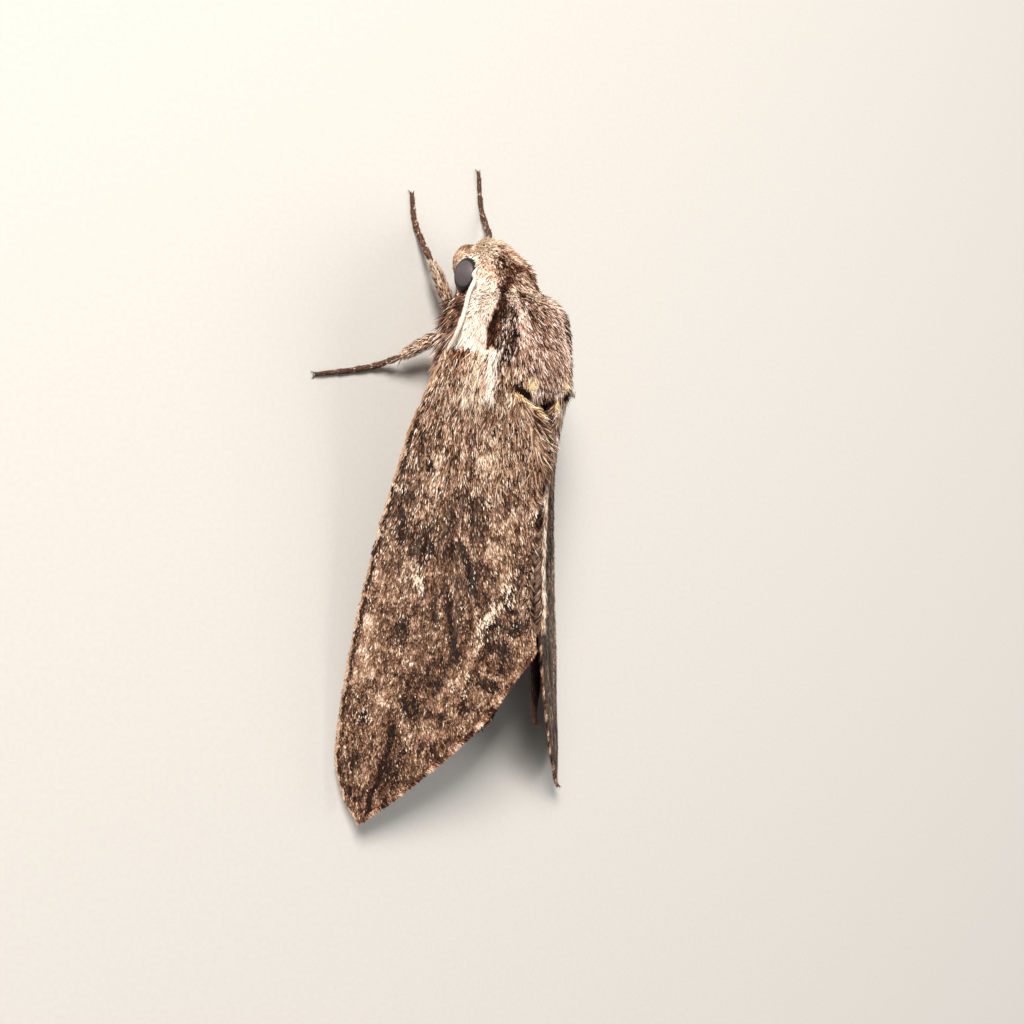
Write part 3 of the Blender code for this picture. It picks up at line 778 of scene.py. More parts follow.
def inside_ball(ball, places):
    """How far these places lie from the middle of an egg-shaped part, where 1 is its surface."""
    centre = np.array(ball["place"])
    away = places - centre
    away[:, 0] = np.abs(places[:, 0]) - centre[0]
    away = turned(away, np.array((0.0, 1.0, 0.0)), -ball["roll"])
    away = turned(away, np.array((1.0, 0.0, 0.0)), ball["pitch"])
    return np.linalg.norm(away / np.array(ball["half_sizes"]), axis=1), away


def round_from_back(places):
    """How many degrees round the body from its back these places lie, on either side."""
    middle = straight_line(BODY_MIDDLE, places[:, 1])
    return np.degrees(np.arctan2(np.abs(places[:, 0]), places[:, 2] - middle))


def body_coat(places):
    """The coat at these places on the body: its tone, spread of tones, hue, length and lift."""
    along = places[:, 1] + 0.22 * noise(places, 0.8, SEED + 11) + 0.1 * noise(places, 0.3, SEED + 12)
    wander = 2.2 * noise(places, 0.9, SEED + 13) + noise(places, 0.35, SEED + 14)
    turn = np.abs(round_from_back(places) + wander)
    roll = PATTERN_ROLL + HEAD_ROLL * (1 - ease(along, 3.5, 6.0))
    turn = np.where(places[:, 0] < 0, np.maximum(turn - roll, 0), turn)
    coat = np.tile(PLAIN_COAT, (len(places), 1))

    def lay(weight, tone, spread, hue, length, lift):
        row = np.array((tone, spread, *HUES[hue], length, lift))
        coat[:] = coat * (1 - weight[:, None]) + row * weight[:, None]

    for _, reach, turns, soft, *row in BODY_MARKS:
        lay(between(along, *reach, soft[0]) * between(turn, *turns, soft[1]), *row)
    for _, places_of_band, soft, *row in BODY_BANDS:
        stations = np.array(places_of_band)
        middle = np.interp(along, stations[:, 0], stations[:, 1])
        half = np.interp(along, stations[:, 0], stations[:, 2])
        inside = between(along, stations[0, 0], stations[-1, 0], 0.15)
        lay(inside * (1 - ease(np.abs(turn - middle), half - soft, half + soft)), *row)
    back, forward, wide = REAR_ARC
    arc = back - forward * (turn / wide) ** 1.3
    on_body = between(turn, -1, REAR_ARC_REACH, 2)
    fringe = ease(along, arc + REAR_ARC_WIDTH - 0.1, arc + REAR_ARC_WIDTH + 0.15) * on_body
    lay(fringe * (1 - ease(along, arc + 1.4, arc + 1.8)), 0.92, 0.14, "yellow", 1.6, 62)
    tuft = between(turn, 2, 17, 2) * (1 - ease(along, arc + 0.1, arc + 0.4))
    bar = between(along, arc - REAR_ARC_WIDTH, arc + REAR_ARC_WIDTH, 0.12) * on_body
    lay(bar * (1 - 0.6 * tuft), 0.02, 0.03, "brown", 0.9, 44)
    first, long, paler = BODY_RINGS
    rings = np.cos((along - first) * 2 * math.pi / long)
    coat[:, 0] += paler * rings * ease(along, 19, 21) * (1 - ease(along, 41, 43))
    near, away = inside_ball(PALP, places)
    on_palp = (1 - ease(near, 1.02, 1.2)) * (1 - ease(places[:, 2], 7.0, 7.6))
    lay(on_palp, 0.5, 0.12, "brown", 0.36, 14)
    lay(on_palp * ease(away[:, 0], 0.7, 1.2), 0.68, 0.12, "tan", 0.4, 18)
    return coat


def body_ways(places, normals, lifts, wander):
    """The way each of the body's hairs grows: back along the skin, up the face and down the flanks."""
    side = np.sign(places[:, 0])
    turn = round_from_back(places)
    along = places[:, 1]
    face = 1 - ease(along, -1.0, 0.8)
    flank = between(turn, 84, 130, 8) * ease(along, 4, 6)
    back = np.stack([side * 0.16 * ease(turn, 5, 40), np.ones(len(side)), np.zeros(len(side))], axis=1)
    back += face[:, None] * np.array((0.0, -0.4, 1.1))
    back += flank[:, None] * np.stack([0.25 * side, np.zeros(len(side)), np.full(len(side), -0.45)], axis=1)
    on_palp = (inside_ball(PALP, places)[0] < 1.15) & (places[:, 2] < 7.3)
    back[on_palp] = (0.0, -0.7, 0.7)
    for axis in range(3):
        broad, fine = noise(places, 1.3, SEED + 21 + axis), noise(places, 0.5, SEED + 31 + axis)
        back[:, axis] += 0.22 * broad + 0.26 * fine
    back += wander
    back = unit(back - normals * np.sum(back * normals, axis=1, keepdims=True))
    angle = np.radians(lifts)[:, None]
    return back * np.cos(angle) + normals * np.sin(angle)


# ---- meshes ----


def triangles_of(faces):
    """Squares cut into triangles."""
    return np.concatenate([faces[:, (0, 1, 2)], faces[:, (0, 2, 3)]]) if faces.shape[1] == 4 else faces


def joined(parts):
    """Several (places, triangles, colours) joined into one."""
    places, triangles, colours, count = [], [], [], 0
    for part_places, part_triangles, part_colours in parts:
        places.append(part_places)
        triangles.append(part_triangles + count)
        colours.append(part_colours)
        count += len(part_places)
    return np.concatenate(places), np.concatenate(triangles), np.concatenate(colours)


def add_piece(name, places, triangles, colours, material, slot, nodes=(), patches=None, smooth=True):
    """A named piece that rides on the moth, with its colours in the attribute tint and its OFBake patches."""
    mesh = bpy.data.meshes.new(name)
    mesh.vertices.add(len(places))
    mesh.vertices.foreach_set("co", in_frame(places).astype(np.float32).ravel())
    mesh.loops.add(triangles.size)
    mesh.loops.foreach_set("vertex_index", triangles.ravel().astype(np.int32))
    mesh.polygons.add(len(triangles))
    mesh.polygons.foreach_set("loop_start", np.arange(0, triangles.size, 3, dtype=np.int32))
    mesh.polygons.foreach_set("use_smooth", np.full(len(triangles), smooth))
    mesh.update(calc_edges=True)
    if patches is not None:
        unwrap = mesh.uv_layers.new(name="OFBake")
        unwrap.data.foreach_set("uv", patches[triangles.ravel()].astype(np.float32).ravel())
    tint = mesh.color_attributes.new("tint", "BYTE_COLOR", "POINT")
    opaque = np.column_stack([colours, np.ones(len(colours))])
    tint.data.foreach_set("color", opaque.astype(np.float32).ravel())
    mesh.materials.append(material)
    piece = bpy.data.objects.new(name, mesh)
    bpy.context.scene.collection.objects.link(piece)
    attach(piece, "root")
    if nodes:
        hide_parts(*nodes)


def add_coat(name, shapes, finish, slot):
    """A named piece of the coat, from the places, triangles, colours and patches of its tufts."""
    places, triangles, colours, patches = shapes
    add_piece(name, places, triangles, colours, material(finish), slot, patches=patches, smooth=False)


def tufts(roots, ways, normals, lengths, widths, arch, colours, spots, flat):
    """A closed tuft at each root: a hair of five corners, or a flat scale of four where flat is set.

    arch is how far its middle stands out of the straight line from root to tip, as a share of its length, and
    spots are the roots' places on the unwrap. It returns places, triangles, colours and patches.
    """
    across = unit(np.cross(ways, normals))
    ups = np.cross(across, ways)
    long = lengths[:, None]
    half = widths[:, None] / 2
    start = roots - ways * long * ROOT_DEPTH
    tip = roots + ways * long
    middle = roots + ways * long * (SCALE_BELLY if flat else HAIR_BELLY) + ups * long * arch
    if flat:
        drop = ups * half * SCALE_CURL
        corners = np.stack([start, middle - across * half - drop, middle + across * half - drop, tip], axis=1)
        faces, shades = SCALE_FACES, SCALE_PAINTED_LIGHT
        shifts = ((0, -1), (-1, 0), (1, 0), (0, 1))
    else:
        left, right = middle - across * half, middle + across * half
        corners = np.stack([start, left, right, middle + ups * half, tip], axis=1)
        faces, shades = SPIKE_FACES, SPIKE_PAINTED_LIGHT
        shifts = ((0, -1), (-1, 0), (1, 0), (0, 0), (0, 1))
    count, size = corners.shape[:2]
    triangles = (faces[None] + np.arange(count)[:, None, None] * size).reshape(-1, 3)
    # Each corner is darkened or brightened by painted shade and painted highlight; pale tufts get less of it,
    # as painted light passing through them, and the shaded depths get a painted warm tint.
    glow = GLOW * ease(colours.mean(axis=1), *GLOW_FROM)[:, None]
    shades = np.array(shades)[None] * (1 - glow) + glow
    colours = np.clip(colours[:, None, :] * shades[:, :, None] ** np.array(DEEP_WARMTH), 0, 1)
    patches = spots[:, None, :] + np.array(shifts)[None] * PATCH
    return corners.reshape(-1, 3), triangles, colours.reshape(-1, 3), patches.reshape(-1, 2)


def vertex_normals(places, triangles):
    """Outward normals at the places of a closed mesh."""
    corners = places[triangles]
    faces = np.cross(corners[:, 1] - corners[:, 0], corners[:, 2] - corners[:, 0])
    total = np.zeros_like(places)
    for k in range(3):
        for axis in range(3):
            total[:, axis] += np.bincount(triangles[:, k], faces[:, axis], len(places))
    return unit(total)


def smoothed(places, triangles, rounds, strength=0.5):
    """The places after each has been drawn towards the mean of its neighbours, this many times."""
    ends = np.concatenate([triangles[:, (0, 1)], triangles[:, (1, 2)], triangles[:, (2, 0)]])
    ends = np.concatenate([ends, ends[:, ::-1]])
    count = np.bincount(ends[:, 0], minlength=len(places))[:, None]
    for _ in range(rounds):
        sums = [np.bincount(ends[:, 0], places[ends[:, 1], axis], len(places)) for axis in range(3)]
        places = places * (1 - strength) + strength * np.stack(sums, axis=1) / count
    return places


def roots_on(places, triangles, weights, count, rng):
    """Random places on a mesh, thicker where its triangles weigh more, and the normals there."""
    corners = places[triangles]
    area = np.linalg.norm(np.cross(corners[:, 1] - corners[:, 0], corners[:, 2] - corners[:, 0]), axis=1)
    share = np.cumsum(area * weights)
    steps = (np.arange(count) + rng.random(count)) / count * share[-1]
    chosen = triangles[np.minimum(np.searchsorted(share, steps), len(triangles) - 1)]
    u, v = rng.random((2, count))
    over = u + v > 1
    u[over], v[over] = 1 - u[over], 1 - v[over]
    mix = np.stack([1 - u - v, u, v], axis=1)[:, :, None]
    normals = vertex_normals(places, triangles)
    return (places[chosen] * mix).sum(axis=1), unit((normals[chosen] * mix).sum(axis=1))


# ---- limbs ----


def bent(points, count):
    """A smooth line through places, as this many places."""
    points = np.array(points, float)
    at = np.linspace(0, len(points) - 1, count)
    return np.stack([smooth_line(list(enumerate(points[:, k])), at) for k in range(3)], axis=1)


def tube_axes(line):
    """The way along a line at each of its places, and two directions square to it that don't twist."""
    ways = unit(np.gradient(line, axis=0))
    side = unit(np.cross(ways[0], (0.0, 0.0, 1.0)) + np.array((1e-4, 0, 0)))
    sides = []
    for way in ways:
        side = unit(side - way * (side @ way))
        sides.append(side)
    sides = np.array(sides)
    return ways, sides, np.cross(sides, ways)


def tube(line, radii, around=12):
    """A closed round tube along a line, with this radius at each place of it."""
    _, sides, ups = tube_axes(line)
    angle = np.linspace(0, 2 * math.pi, around, endpoint=False)
    ring = np.cos(angle)[None, :, None] * sides[:, None] + np.sin(angle)[None, :, None] * ups[:, None]
    places = (line[:, None] + ring * np.asarray(radii)[:, None, None]).reshape(-1, 3)
    index = np.arange(len(line) * around).reshape(len(line), around)
    after = np.roll(index, -1, axis=1)
    walls = np.stack([index[:-1], index[1:], after[1:], after[:-1]], axis=-1).reshape(-1, 4)
    first, last = len(places), len(places) + 1
    caps = [np.stack([index[0], after[0], np.full(around, first)], axis=1)]
    caps.append(np.stack([after[-1], index[-1], np.full(around, last)], axis=1))
    return np.concatenate([places, line[:1], line[-1:]]), np.concatenate([triangles_of(walls), *caps])


def rounded_ends(share):
    """The share of its radius that a limb keeps, which falls off at both of its ends."""
    return np.sqrt(np.clip(1 - (2 * share - 1) ** 10, 0.0004, 1))


def limb_parts(leg):
    """The line and radii of a leg's femur, tibia and tarsus, within its coat."""
    hip, knee, ankle, *way = leg
    share = np.linspace(0, 1, LIMB_STATIONS)
    femur = hip + (knee - hip) * share[:, None]
    tibia = knee + (ankle - knee) * share[:, None]
    yield "femur", femur, straight_line(FEMUR_RADII, share) * rounded_ends(share)
    yield "tibia", tibia, straight_line(TIBIA_RADII, share) * rounded_ends(share)
    share = np.linspace(0, 1, TARSUS_STATIONS)
    part = (share * TARSUS_JOINTS) % 1
    flare = 0.84 + 0.26 * part - 0.22 * np.exp(-(((1 - part) / 0.07) ** 2))
    tarsus = bent((ankle, *way), TARSUS_STATIONS)
    yield "tarsus", tarsus, straight_line(TARSUS_RADII, share) * flare * rounded_ends(share)


def thorn(start, way, length, radius, curl=(0, 0, 0)):
    """A closed tapering spine, bent towards curl."""
    share = np.linspace(0, 1, 8)
    line = np.array(start) + unit(np.array(way, float)) * (length * share)[:, None]
    line = line + np.array(curl, float) * (length * share**2)[:, None]
    return tube(line, radius * (1 - share) ** 0.7 + 0.008, around=7)


def all_legs():
    """The lines of the six legs, by name."""
    legs = {name: np.array(points) for name, points in LEGS.items()}
    for pair in MIRRORED_LEGS:
        legs[f"{pair}_right"] = legs[f"{pair}_left"] * (-1, 1, 1)
    return legs


# ---- materials ----


def node(tree, kind, settings=None, values=None, links=None):
    """Adds a node with its settings, its sockets' values and the sockets that feed it."""
    made = tree.nodes.new(kind)
    for name, value in (settings or {}).items():
        setattr(made, name, value)
    for name, value in (values or {}).items():
        made.inputs[name].default_value = value
    for name, socket in (links or {}).items():
        tree.links.new(socket, made.inputs[name])
    return made


def new_material(name):
    """A material whose surface is one Principled shader, and its tree and the place on it in metres."""
    made = bpy.data.materials.new(name)
    made.use_nodes = True
    tree = made.node_tree
    tree.nodes.clear()
    shader = node(tree, "ShaderNodeBsdfPrincipled")
    node(tree, "ShaderNodeOutputMaterial", links={"Surface": shader.outputs[0]})
    place = node(tree, "ShaderNodeTexCoord").outputs["Object"]
    return made, tree, shader, place


def per_mm(size):
    """The noise scale that gives lumps of this many millimetres."""
    return 1 / (size * MM)


def tinted(tree, place, grain, low, high):
    """The piece's own colours, varied between two shades in grains of this size."""
    tint = node(tree, "ShaderNodeAttribute", {"attribute_name": "tint"}).outputs["Color"]
    speck = node(
        tree,
        "ShaderNodeTexNoise",
        values={"Scale": per_mm(grain), "Detail": 3.0},
        links={"Vector": place},
    )
    shade = node(
        tree,
        "ShaderNodeMapRange",
        values={"From Min": 0.3, "From Max": 0.7, "To Min": low, "To Max": high},
        links={"Value": speck.outputs["Fac"]},
    )
    mixed = node(
        tree,
        "ShaderNodeVectorMath",
        {"operation": "SCALE"},
        links={0: tint, "Scale": shade.outputs["Result"]},
    )
    return mixed.outputs["Vector"], speck.outputs["Fac"]


def coat_material(name, grain, roughness, sheen):
    """Chitin scales, dry and ridged: a matt coat whose paler tips catch a soft light along their length."""
    made, tree, shader, place = new_material(name)
    colour, speck = tinted(tree, place, grain, 0.86, 1.14)
    tree.links.new(colour, shader.inputs["Base Color"])
    rough = node(
        tree,
        "ShaderNodeMapRange",
        values={"From Min": 0.3, "From Max": 0.7, "To Min": roughness - 0.08, "To Max": roughness + 0.08},
        links={"Value": speck},
    )
    tree.links.new(rough.outputs["Result"], shader.inputs["Roughness"])
    shader.inputs["IOR"].default_value = 1.56
    shader.inputs["Specular IOR Level"].default_value = 0.1
    shader.inputs["Sheen Weight"].default_value = sheen
    shader.inputs["Sheen Roughness"].default_value = 0.45
    return made


def skin_material(name, lump, depth):
    """Chitin under its coat: rough, and broken up by the scales' sockets, so that no smooth patch shows."""
    made, tree, shader, place = new_material(name)
    colour, _ = tinted(tree, place, lump, 0.6, 1.25)
    tree.links.new(colour, shader.inputs["Base Color"])
    cells = node(tree, "ShaderNodeTexVoronoi", values={"Scale": per_mm(lump)}, links={"Vector": place})
    bump = node(
        tree,
        "ShaderNodeBump",
        values={"Strength": 0.7, "Distance": depth * MM},
        links={"Height": cells.outputs["Distance"]},
    )
    tree.links.new(bump.outputs["Normal"], shader.inputs["Normal"])
    shader.inputs["Roughness"].default_value = 0.78
    shader.inputs["IOR"].default_value = 1.56
    return made


def eye_material():
    """A compound eye: thousands of tiny clear lenses over dark pigment, which give a soft dull gloss.

    The lenses are about 0.03 mm across in life and are drawn at 0.09 mm, so that they show.
    """
    made, tree, shader, place = new_material("Compound_Eye_Facets")
    colour, _ = tinted(tree, place, 0.9, 0.85, 1.15)
    tree.links.new(colour, shader.inputs["Base Color"])
    lenses = node(
        tree,
        "ShaderNodeTexVoronoi",
        values={"Scale": per_mm(0.09), "Randomness": 0.15},
        links={"Vector": place},
    )
    bump = node(
        tree,
        "ShaderNodeBump",
        {"invert": True},
        values={"Strength": 0.35, "Distance": 0.012 * MM},
        links={"Height": lenses.outputs["Distance"]},
    )
    tree.links.new(bump.outputs["Normal"], shader.inputs["Normal"])
    shader.inputs["Roughness"].default_value = 0.55
    shader.inputs["IOR"].default_value = 1.42
    shader.inputs["Coat Weight"].default_value = 0.04
    shader.inputs["Coat Roughness"].default_value = 0.12
    return made


def claw_material():
    """Bare dark chitin of claws and spines: smooth, horn-like, with a gloss along its edge."""
    made, tree, shader, place = new_material("Claw_Chitin")
    colour, speck = tinted(tree, place, 0.12, 0.75, 1.2)
    tree.links.new(colour, shader.inputs["Base Color"])
    bump = node(
        tree,
        "ShaderNodeBump",
        values={"Strength": 0.3, "Distance": 0.01 * MM},
        links={"Height": speck},
    )
    tree.links.new(bump.outputs["Normal"], shader.inputs["Normal"])
    shader.inputs["Roughness"].default_value = 0.34
    shader.inputs["IOR"].default_value = 1.56
    return made


def floor_material():
    """Smooth card, matt: pale, with a fibre grain of half a millimetre that only just shows."""
    made, tree, shader, place = new_material("Matt_Card")
    fibre = node(
        tree,
        "ShaderNodeTexNoise",
        values={"Scale": per_mm(0.5), "Detail": 4.0},
        links={"Vector": place},
    )
    ramp = node(tree, "ShaderNodeValToRGB", links={"Fac": fibre.outputs["Fac"]})
    ramp.color_ramp.elements[0].color = (*linear("#cfcdc9"), 1)
    ramp.color_ramp.elements[1].color = (*linear("#d9d7d3"), 1)
    tree.links.new(ramp.outputs["Color"], shader.inputs["Base Color"])
    bump = node(
        tree,
        "ShaderNodeBump",
        values={"Strength": 0.15, "Distance": 0.02 * MM},
        links={"Height": fibre.outputs["Fac"]},
    )
    tree.links.new(bump.outputs["Normal"], shader.inputs["Normal"])
    shader.inputs["Roughness"].default_value = 0.85
    return made


def material(name):
    """A finish by its name, made the first time it is asked for."""
    makers = {
        "Body_Fur": lambda: coat_material("Body_Fur", 0.3, 0.52, 0.06),
        "Wing_Scales": lambda: coat_material("Wing_Scales", 0.25, 0.46, 0.05),
        "Leg_Scales": lambda: coat_material("Leg_Scales", 0.2, 0.5, 0.05),
        "Body_Chitin": lambda: skin_material("Body_Chitin", 0.16, 0.06),
        "Wing_Membrane": lambda: skin_material("Wing_Membrane", 0.14, 0.04),
        "Compound_Eye_Facets": eye_material,
        "Claw_Chitin": claw_material,
        "Matt_Card": floor_material,
    }
    return bpy.data.materials.get(name) or makers[name]()


# ---- the pieces ----


def grown_solid(name):
    """A mesh of a node's solid, in millimetres, grown a little on every side."""
    part = bmesh.new()
    part.from_mesh(frame["nodes"][name].data)
    bmesh.ops.transform(part, matrix=Matrix.Scale(1 / MM, 4), verts=part.verts)
    bmesh.ops.remove_doubles(part, verts=part.verts, dist=0.002)
    bmesh.ops.recalc_face_normals(part, faces=part.faces)
    part.normal_update()
    for vert, normal in [(v, v.normal.copy()) for v in part.verts]:
        vert.co += normal * SKIN_GROWTH
    shape = bpy.data.meshes.new(name + "_shape")
    part.to_mesh(shape)
    part.free()
    return shape


def run_together(shapes):
    """These meshes as the places and triangles of one closed surface, in millimetres."""
    whole = bmesh.new()
    for shape in shapes:
        whole.from_mesh(shape)
        bpy.data.meshes.remove(shape)
    joint = bpy.data.meshes.new("body_shape")
    whole.to_mesh(joint)
    whole.free()
    drawn = bpy.data.objects.new("body_shape", joint)
    bpy.context.scene.collection.objects.link(drawn)
    remesh = drawn.modifiers.new("run together", "REMESH")
    remesh.mode = "VOXEL"
    remesh.voxel_size = SKIN_CELL
    graph = bpy.context.evaluated_depsgraph_get()
    result = bpy.data.meshes.new_from_object(drawn.evaluated_get(graph), depsgraph=graph)
    result.calc_loop_triangles()
    places = np.empty(len(result.vertices) * 3)
    result.vertices.foreach_get("co", places)
    triangles = np.empty(len(result.loop_triangles) * 3, np.int32)
    result.loop_triangles.foreach_get("vertices", triangles)
    bpy.data.objects.remove(drawn)
    return places.reshape(-1, 3), triangles.reshape(-1, 3).astype(np.int64)


@functools.cache
def body_surface():
    """The body's skin as places and triangles: its solids run together, smoothed and drawn inwards."""
    places, triangles = run_together([grown_solid(name) for name in (*BODY_NODES, "eye_left", "eye_right")])
    places = smoothed(on_moth(places * MM), triangles, SKIN_ROUNDS)
    neck = between(places[:, 1], *NECK, 1.0) * (1 - ease(round_from_back(places), 78, 100))
    places = places + (smoothed(places, triangles, NECK_ROUNDS) - places) * neck[:, None]
    inwards = SKIN_GROWTH + body_depth(places)
    places = places - vertex_normals(places, triangles) * inwards[:, None]
    return smoothed(places, triangles, 3), triangles


def body_depth(places):
    """How deep the skin lies inside the body's solids."""
    depth = straight_line(SKIN_DEPTH, places[:, 1])
    on_palp = inside_ball(PALP, places)[0] < 1.2
    depth[on_palp] = PALP_DEPTH
    away, polar = from_eye(places)
    round_eye = 1 - ease(away - EYE_RADIUS, 0.3, 0.9)
    open_eye = 1 - ease(polar, EYE_OPEN - 2, EYE_OPEN + 6)
    return depth * (1 - round_eye) + round_eye * (EYE_RIM_DEPTH + EYE_HOLLOW * open_eye)


def body_tints(coat, rng, shade):
    """Colours for places of the body's coat, each differing as far as its spread says."""
    tones = coat[:, 0] + coat[:, 1] * rng.standard_normal(len(coat)) + shade
    return tone_colours(tones, coat[:, 2:5])


def body_unwrap(places):
    """Places on the body's own unwrap, which is cut along its belly and rolled out flat."""
    middle = straight_line(BODY_MIDDLE, places[:, 1])
    turn = np.arctan2(places[:, 0], places[:, 2] - middle) / (2 * math.pi) + 0.5
    start, long = BODY_UNWRAP
    along = (places[:, 1] - start) / long
    return np.clip(np.stack([turn, along], axis=1), PATCH, 1 - PATCH)


def from_eye(places):
    """How far places lie from the middle of the eye on their side, and how many degrees from its axis."""
    away = np.column_stack([np.abs(places[:, 0]), places[:, 1:]]) - np.array(EYE_PLACE)
    away = away / (1, EYE_LONG, 1)
    return np.linalg.norm(away, axis=1), np.degrees(np.arccos(np.clip(unit(away) @ unit(EYE_AXIS), -1, 1)))


def clear_of_eyes(places):
    """Whether these places are off the open part of either eye."""
    away, polar = from_eye(places)
    return (away > EYE_RADIUS + 0.35) | (polar > EYE_OPEN)


def build_skin():
    """One skin over body and legs, with the markings of the coat above it."""
    rng = np.random.default_rng(SEED)
    places, triangles = body_surface()
    coat = body_coat(places)
    coat[:, 1] *= 0.2
    parts = [(places, triangles, body_tints(coat, rng, SKIN_SHADE))]
    limbs = []
    for name, leg in all_legs().items():
        for part, line, radii in limb_parts(leg):
            leg_places, leg_triangles = tube(line, radii, around=16)
            leg_places[:, 2] = np.maximum(leg_places[:, 2], 0.02)
            tone = np.full(len(leg_places), 0.26)
            parts.append((leg_places, leg_triangles, tone_colours(tone, np.array([HUES["russet"]]))))
            limbs.append(f"{name}_{part}")
    add_piece("moth_skin", *joined(parts), material("Body_Chitin"), "body_fur", (*BODY_NODES, *limbs))


def body_hairs(places, triangles, chosen, count, rng, sizes):
    """The hairs of the chosen triangles of the body, as tufts."""
    lengths = body_coat(places[triangles].mean(axis=1))[:, 5]
    weights = chosen / np.maximum(lengths, 0.4) ** 0.6
    roots, normals = roots_on(places, triangles, weights, count, rng)
    keep = clear_of_eyes(roots)
    roots, normals = roots[keep], normals[keep]
    coat = body_coat(roots)

    # The hairs are short round the eyes, and cover the right antenna, which lies deeper.
    away, polar = from_eye(roots)
    near = 1 - ease(away, EYE_RADIUS + 0.2, EYE_RADIUS + 0.7)
    at_eye = near * (1 - ease(polar, EYE_OPEN + 8, EYE_OPEN + 30))
    length = coat[:, 5] * sizes.fur_length * rng.uniform(0.65, 1.3, len(roots)) * (1 - 0.5 * at_eye)
    lift = coat[:, 6] + rng.normal(0, 9, len(roots))
    beside = between(roots[:, 1], 1.0, 7.0, 0.6) * between(round_from_back(roots), 48, 80, 6)
    tuck = (roots[:, 0] < 0) * beside
    length, lift = length * (1 + 0.3 * tuck), lift + 9 * tuck
    ways = body_ways(roots, normals, lift, rng.normal(0, 0.13, roots.shape))

    coat = body_coat(roots + ways * (length * TINT_AT)[:, None])
    clump = 0.17 * noise(roots, 0.5, SEED + 41) + 0.2 * noise(roots, 0.27, SEED + 42)
    clump = clump * (0.25 + 3 * np.clip(coat[:, 1], 0, 0.25))
    stout = np.clip(0.7 + 0.4 * coat[:, 5], 0.95, 1.25)
    width = sizes.hair_width / MM * rng.uniform(0.7, 1.3, len(roots)) * stout
    colours = body_tints(coat, rng, clump)
    return tufts(roots, ways, normals, length, width, 0.1, colours, body_unwrap(roots), False)


def build_body_coat(context):
    """The fur of the head, thorax, breast and abdomen, each its own piece."""
    sizes = context.scene.hawk_moth_sizes
    places, triangles = body_surface()
    middles = places[triangles].mean(axis=1)
    along, turn = middles[:, 1], round_from_back(middles)
    trunk = (along >= THORAX_START) & (along < ABDOMEN_START)
    regions = {
        "head": along < THORAX_START,
        "thorax": trunk & (turn < FLANK_TURN),
        "breast": trunk & (turn >= FLANK_TURN),
        "abdomen": along >= ABDOMEN_START,
    }
    for number, (name, chosen) in enumerate(regions.items()):
        rng = np.random.default_rng(sizes.seed + number)
        count = int(FUR_HAIRS[name] * sizes.fur_density)
        hairs = body_hairs(places, triangles, chosen, count, rng, sizes)
        add_coat(name + "_fur", hairs, "Body_Fur", "body_fur")


def build_wing(context, kind, side, counts):
    """A wing's membrane and its coat of scales, above and below."""
    sizes = context.scene.hawk_moth_sizes
    wing = FOREWING if kind == "forewing" else HINDWING
    seed = SEED + 100 + 7 * len(kind) + int(SIDES[side])
    places, faces, s, t = wing_grid(wing, side, -1.0 if kind == "forewing" else wing["leading"][0][0])
    tone, hue, dark, pale = wing_tones(wing, s, t)
    tone = tone * (1 - dark) + MEMBRANE_DARK * dark
    tone = tone * (1 - pale) + MEMBRANE_PALE * pale
    under = np.arange(len(s)) >= len(s) // 2
    tone[under] = UNDERSIDE_TONE
    colours = tone_colours(tone + MEMBRANE_SHADE, hue)
    name = f"{kind}_{side}"
    finish = material("Wing_Membrane")
    add_piece(name + "_membrane", places, triangles_of(faces), colours, finish, "wing_scales", (name,))
    for number, (part, (low, high, count, below)) in enumerate(counts.items()):
        rng = np.random.default_rng(seed + number)
        count = int(count * sizes.scale_density)
        scales = wing_scales(wing, side, (low, high), count, below, rng, sizes.scale_length)
        add_coat(f"{name}_{part}_scales", scales, "Wing_Scales", "wing_scales")


def wing_frame(wing, side, s, t, depth):
    """Places on a wing with the ways along it, across it and out of it."""
    step = 0.05
    places = wing_places(wing, side, s, t, depth)
    along = unit(wing_places(wing, side, s + step, t, depth) - places)
    across = unit(wing_places(wing, side, s, t + step, depth) - places)
    normals = unit(np.cross(along, across)) * SIDES[side]
    return places, along, unit(np.cross(normals, along)) * SIDES[side], normals


def wing_unwrap(s, t, before, longer):
    """Places on a wing's own unwrap, which starts before the hinge and is this much longer than the span."""
    start, wide = WING_UNWRAP
    spots = np.stack([(s + before) / (SPAN + longer), (t - start) / wide], axis=1)
    return np.clip(spots, PATCH, 1 - PATCH)


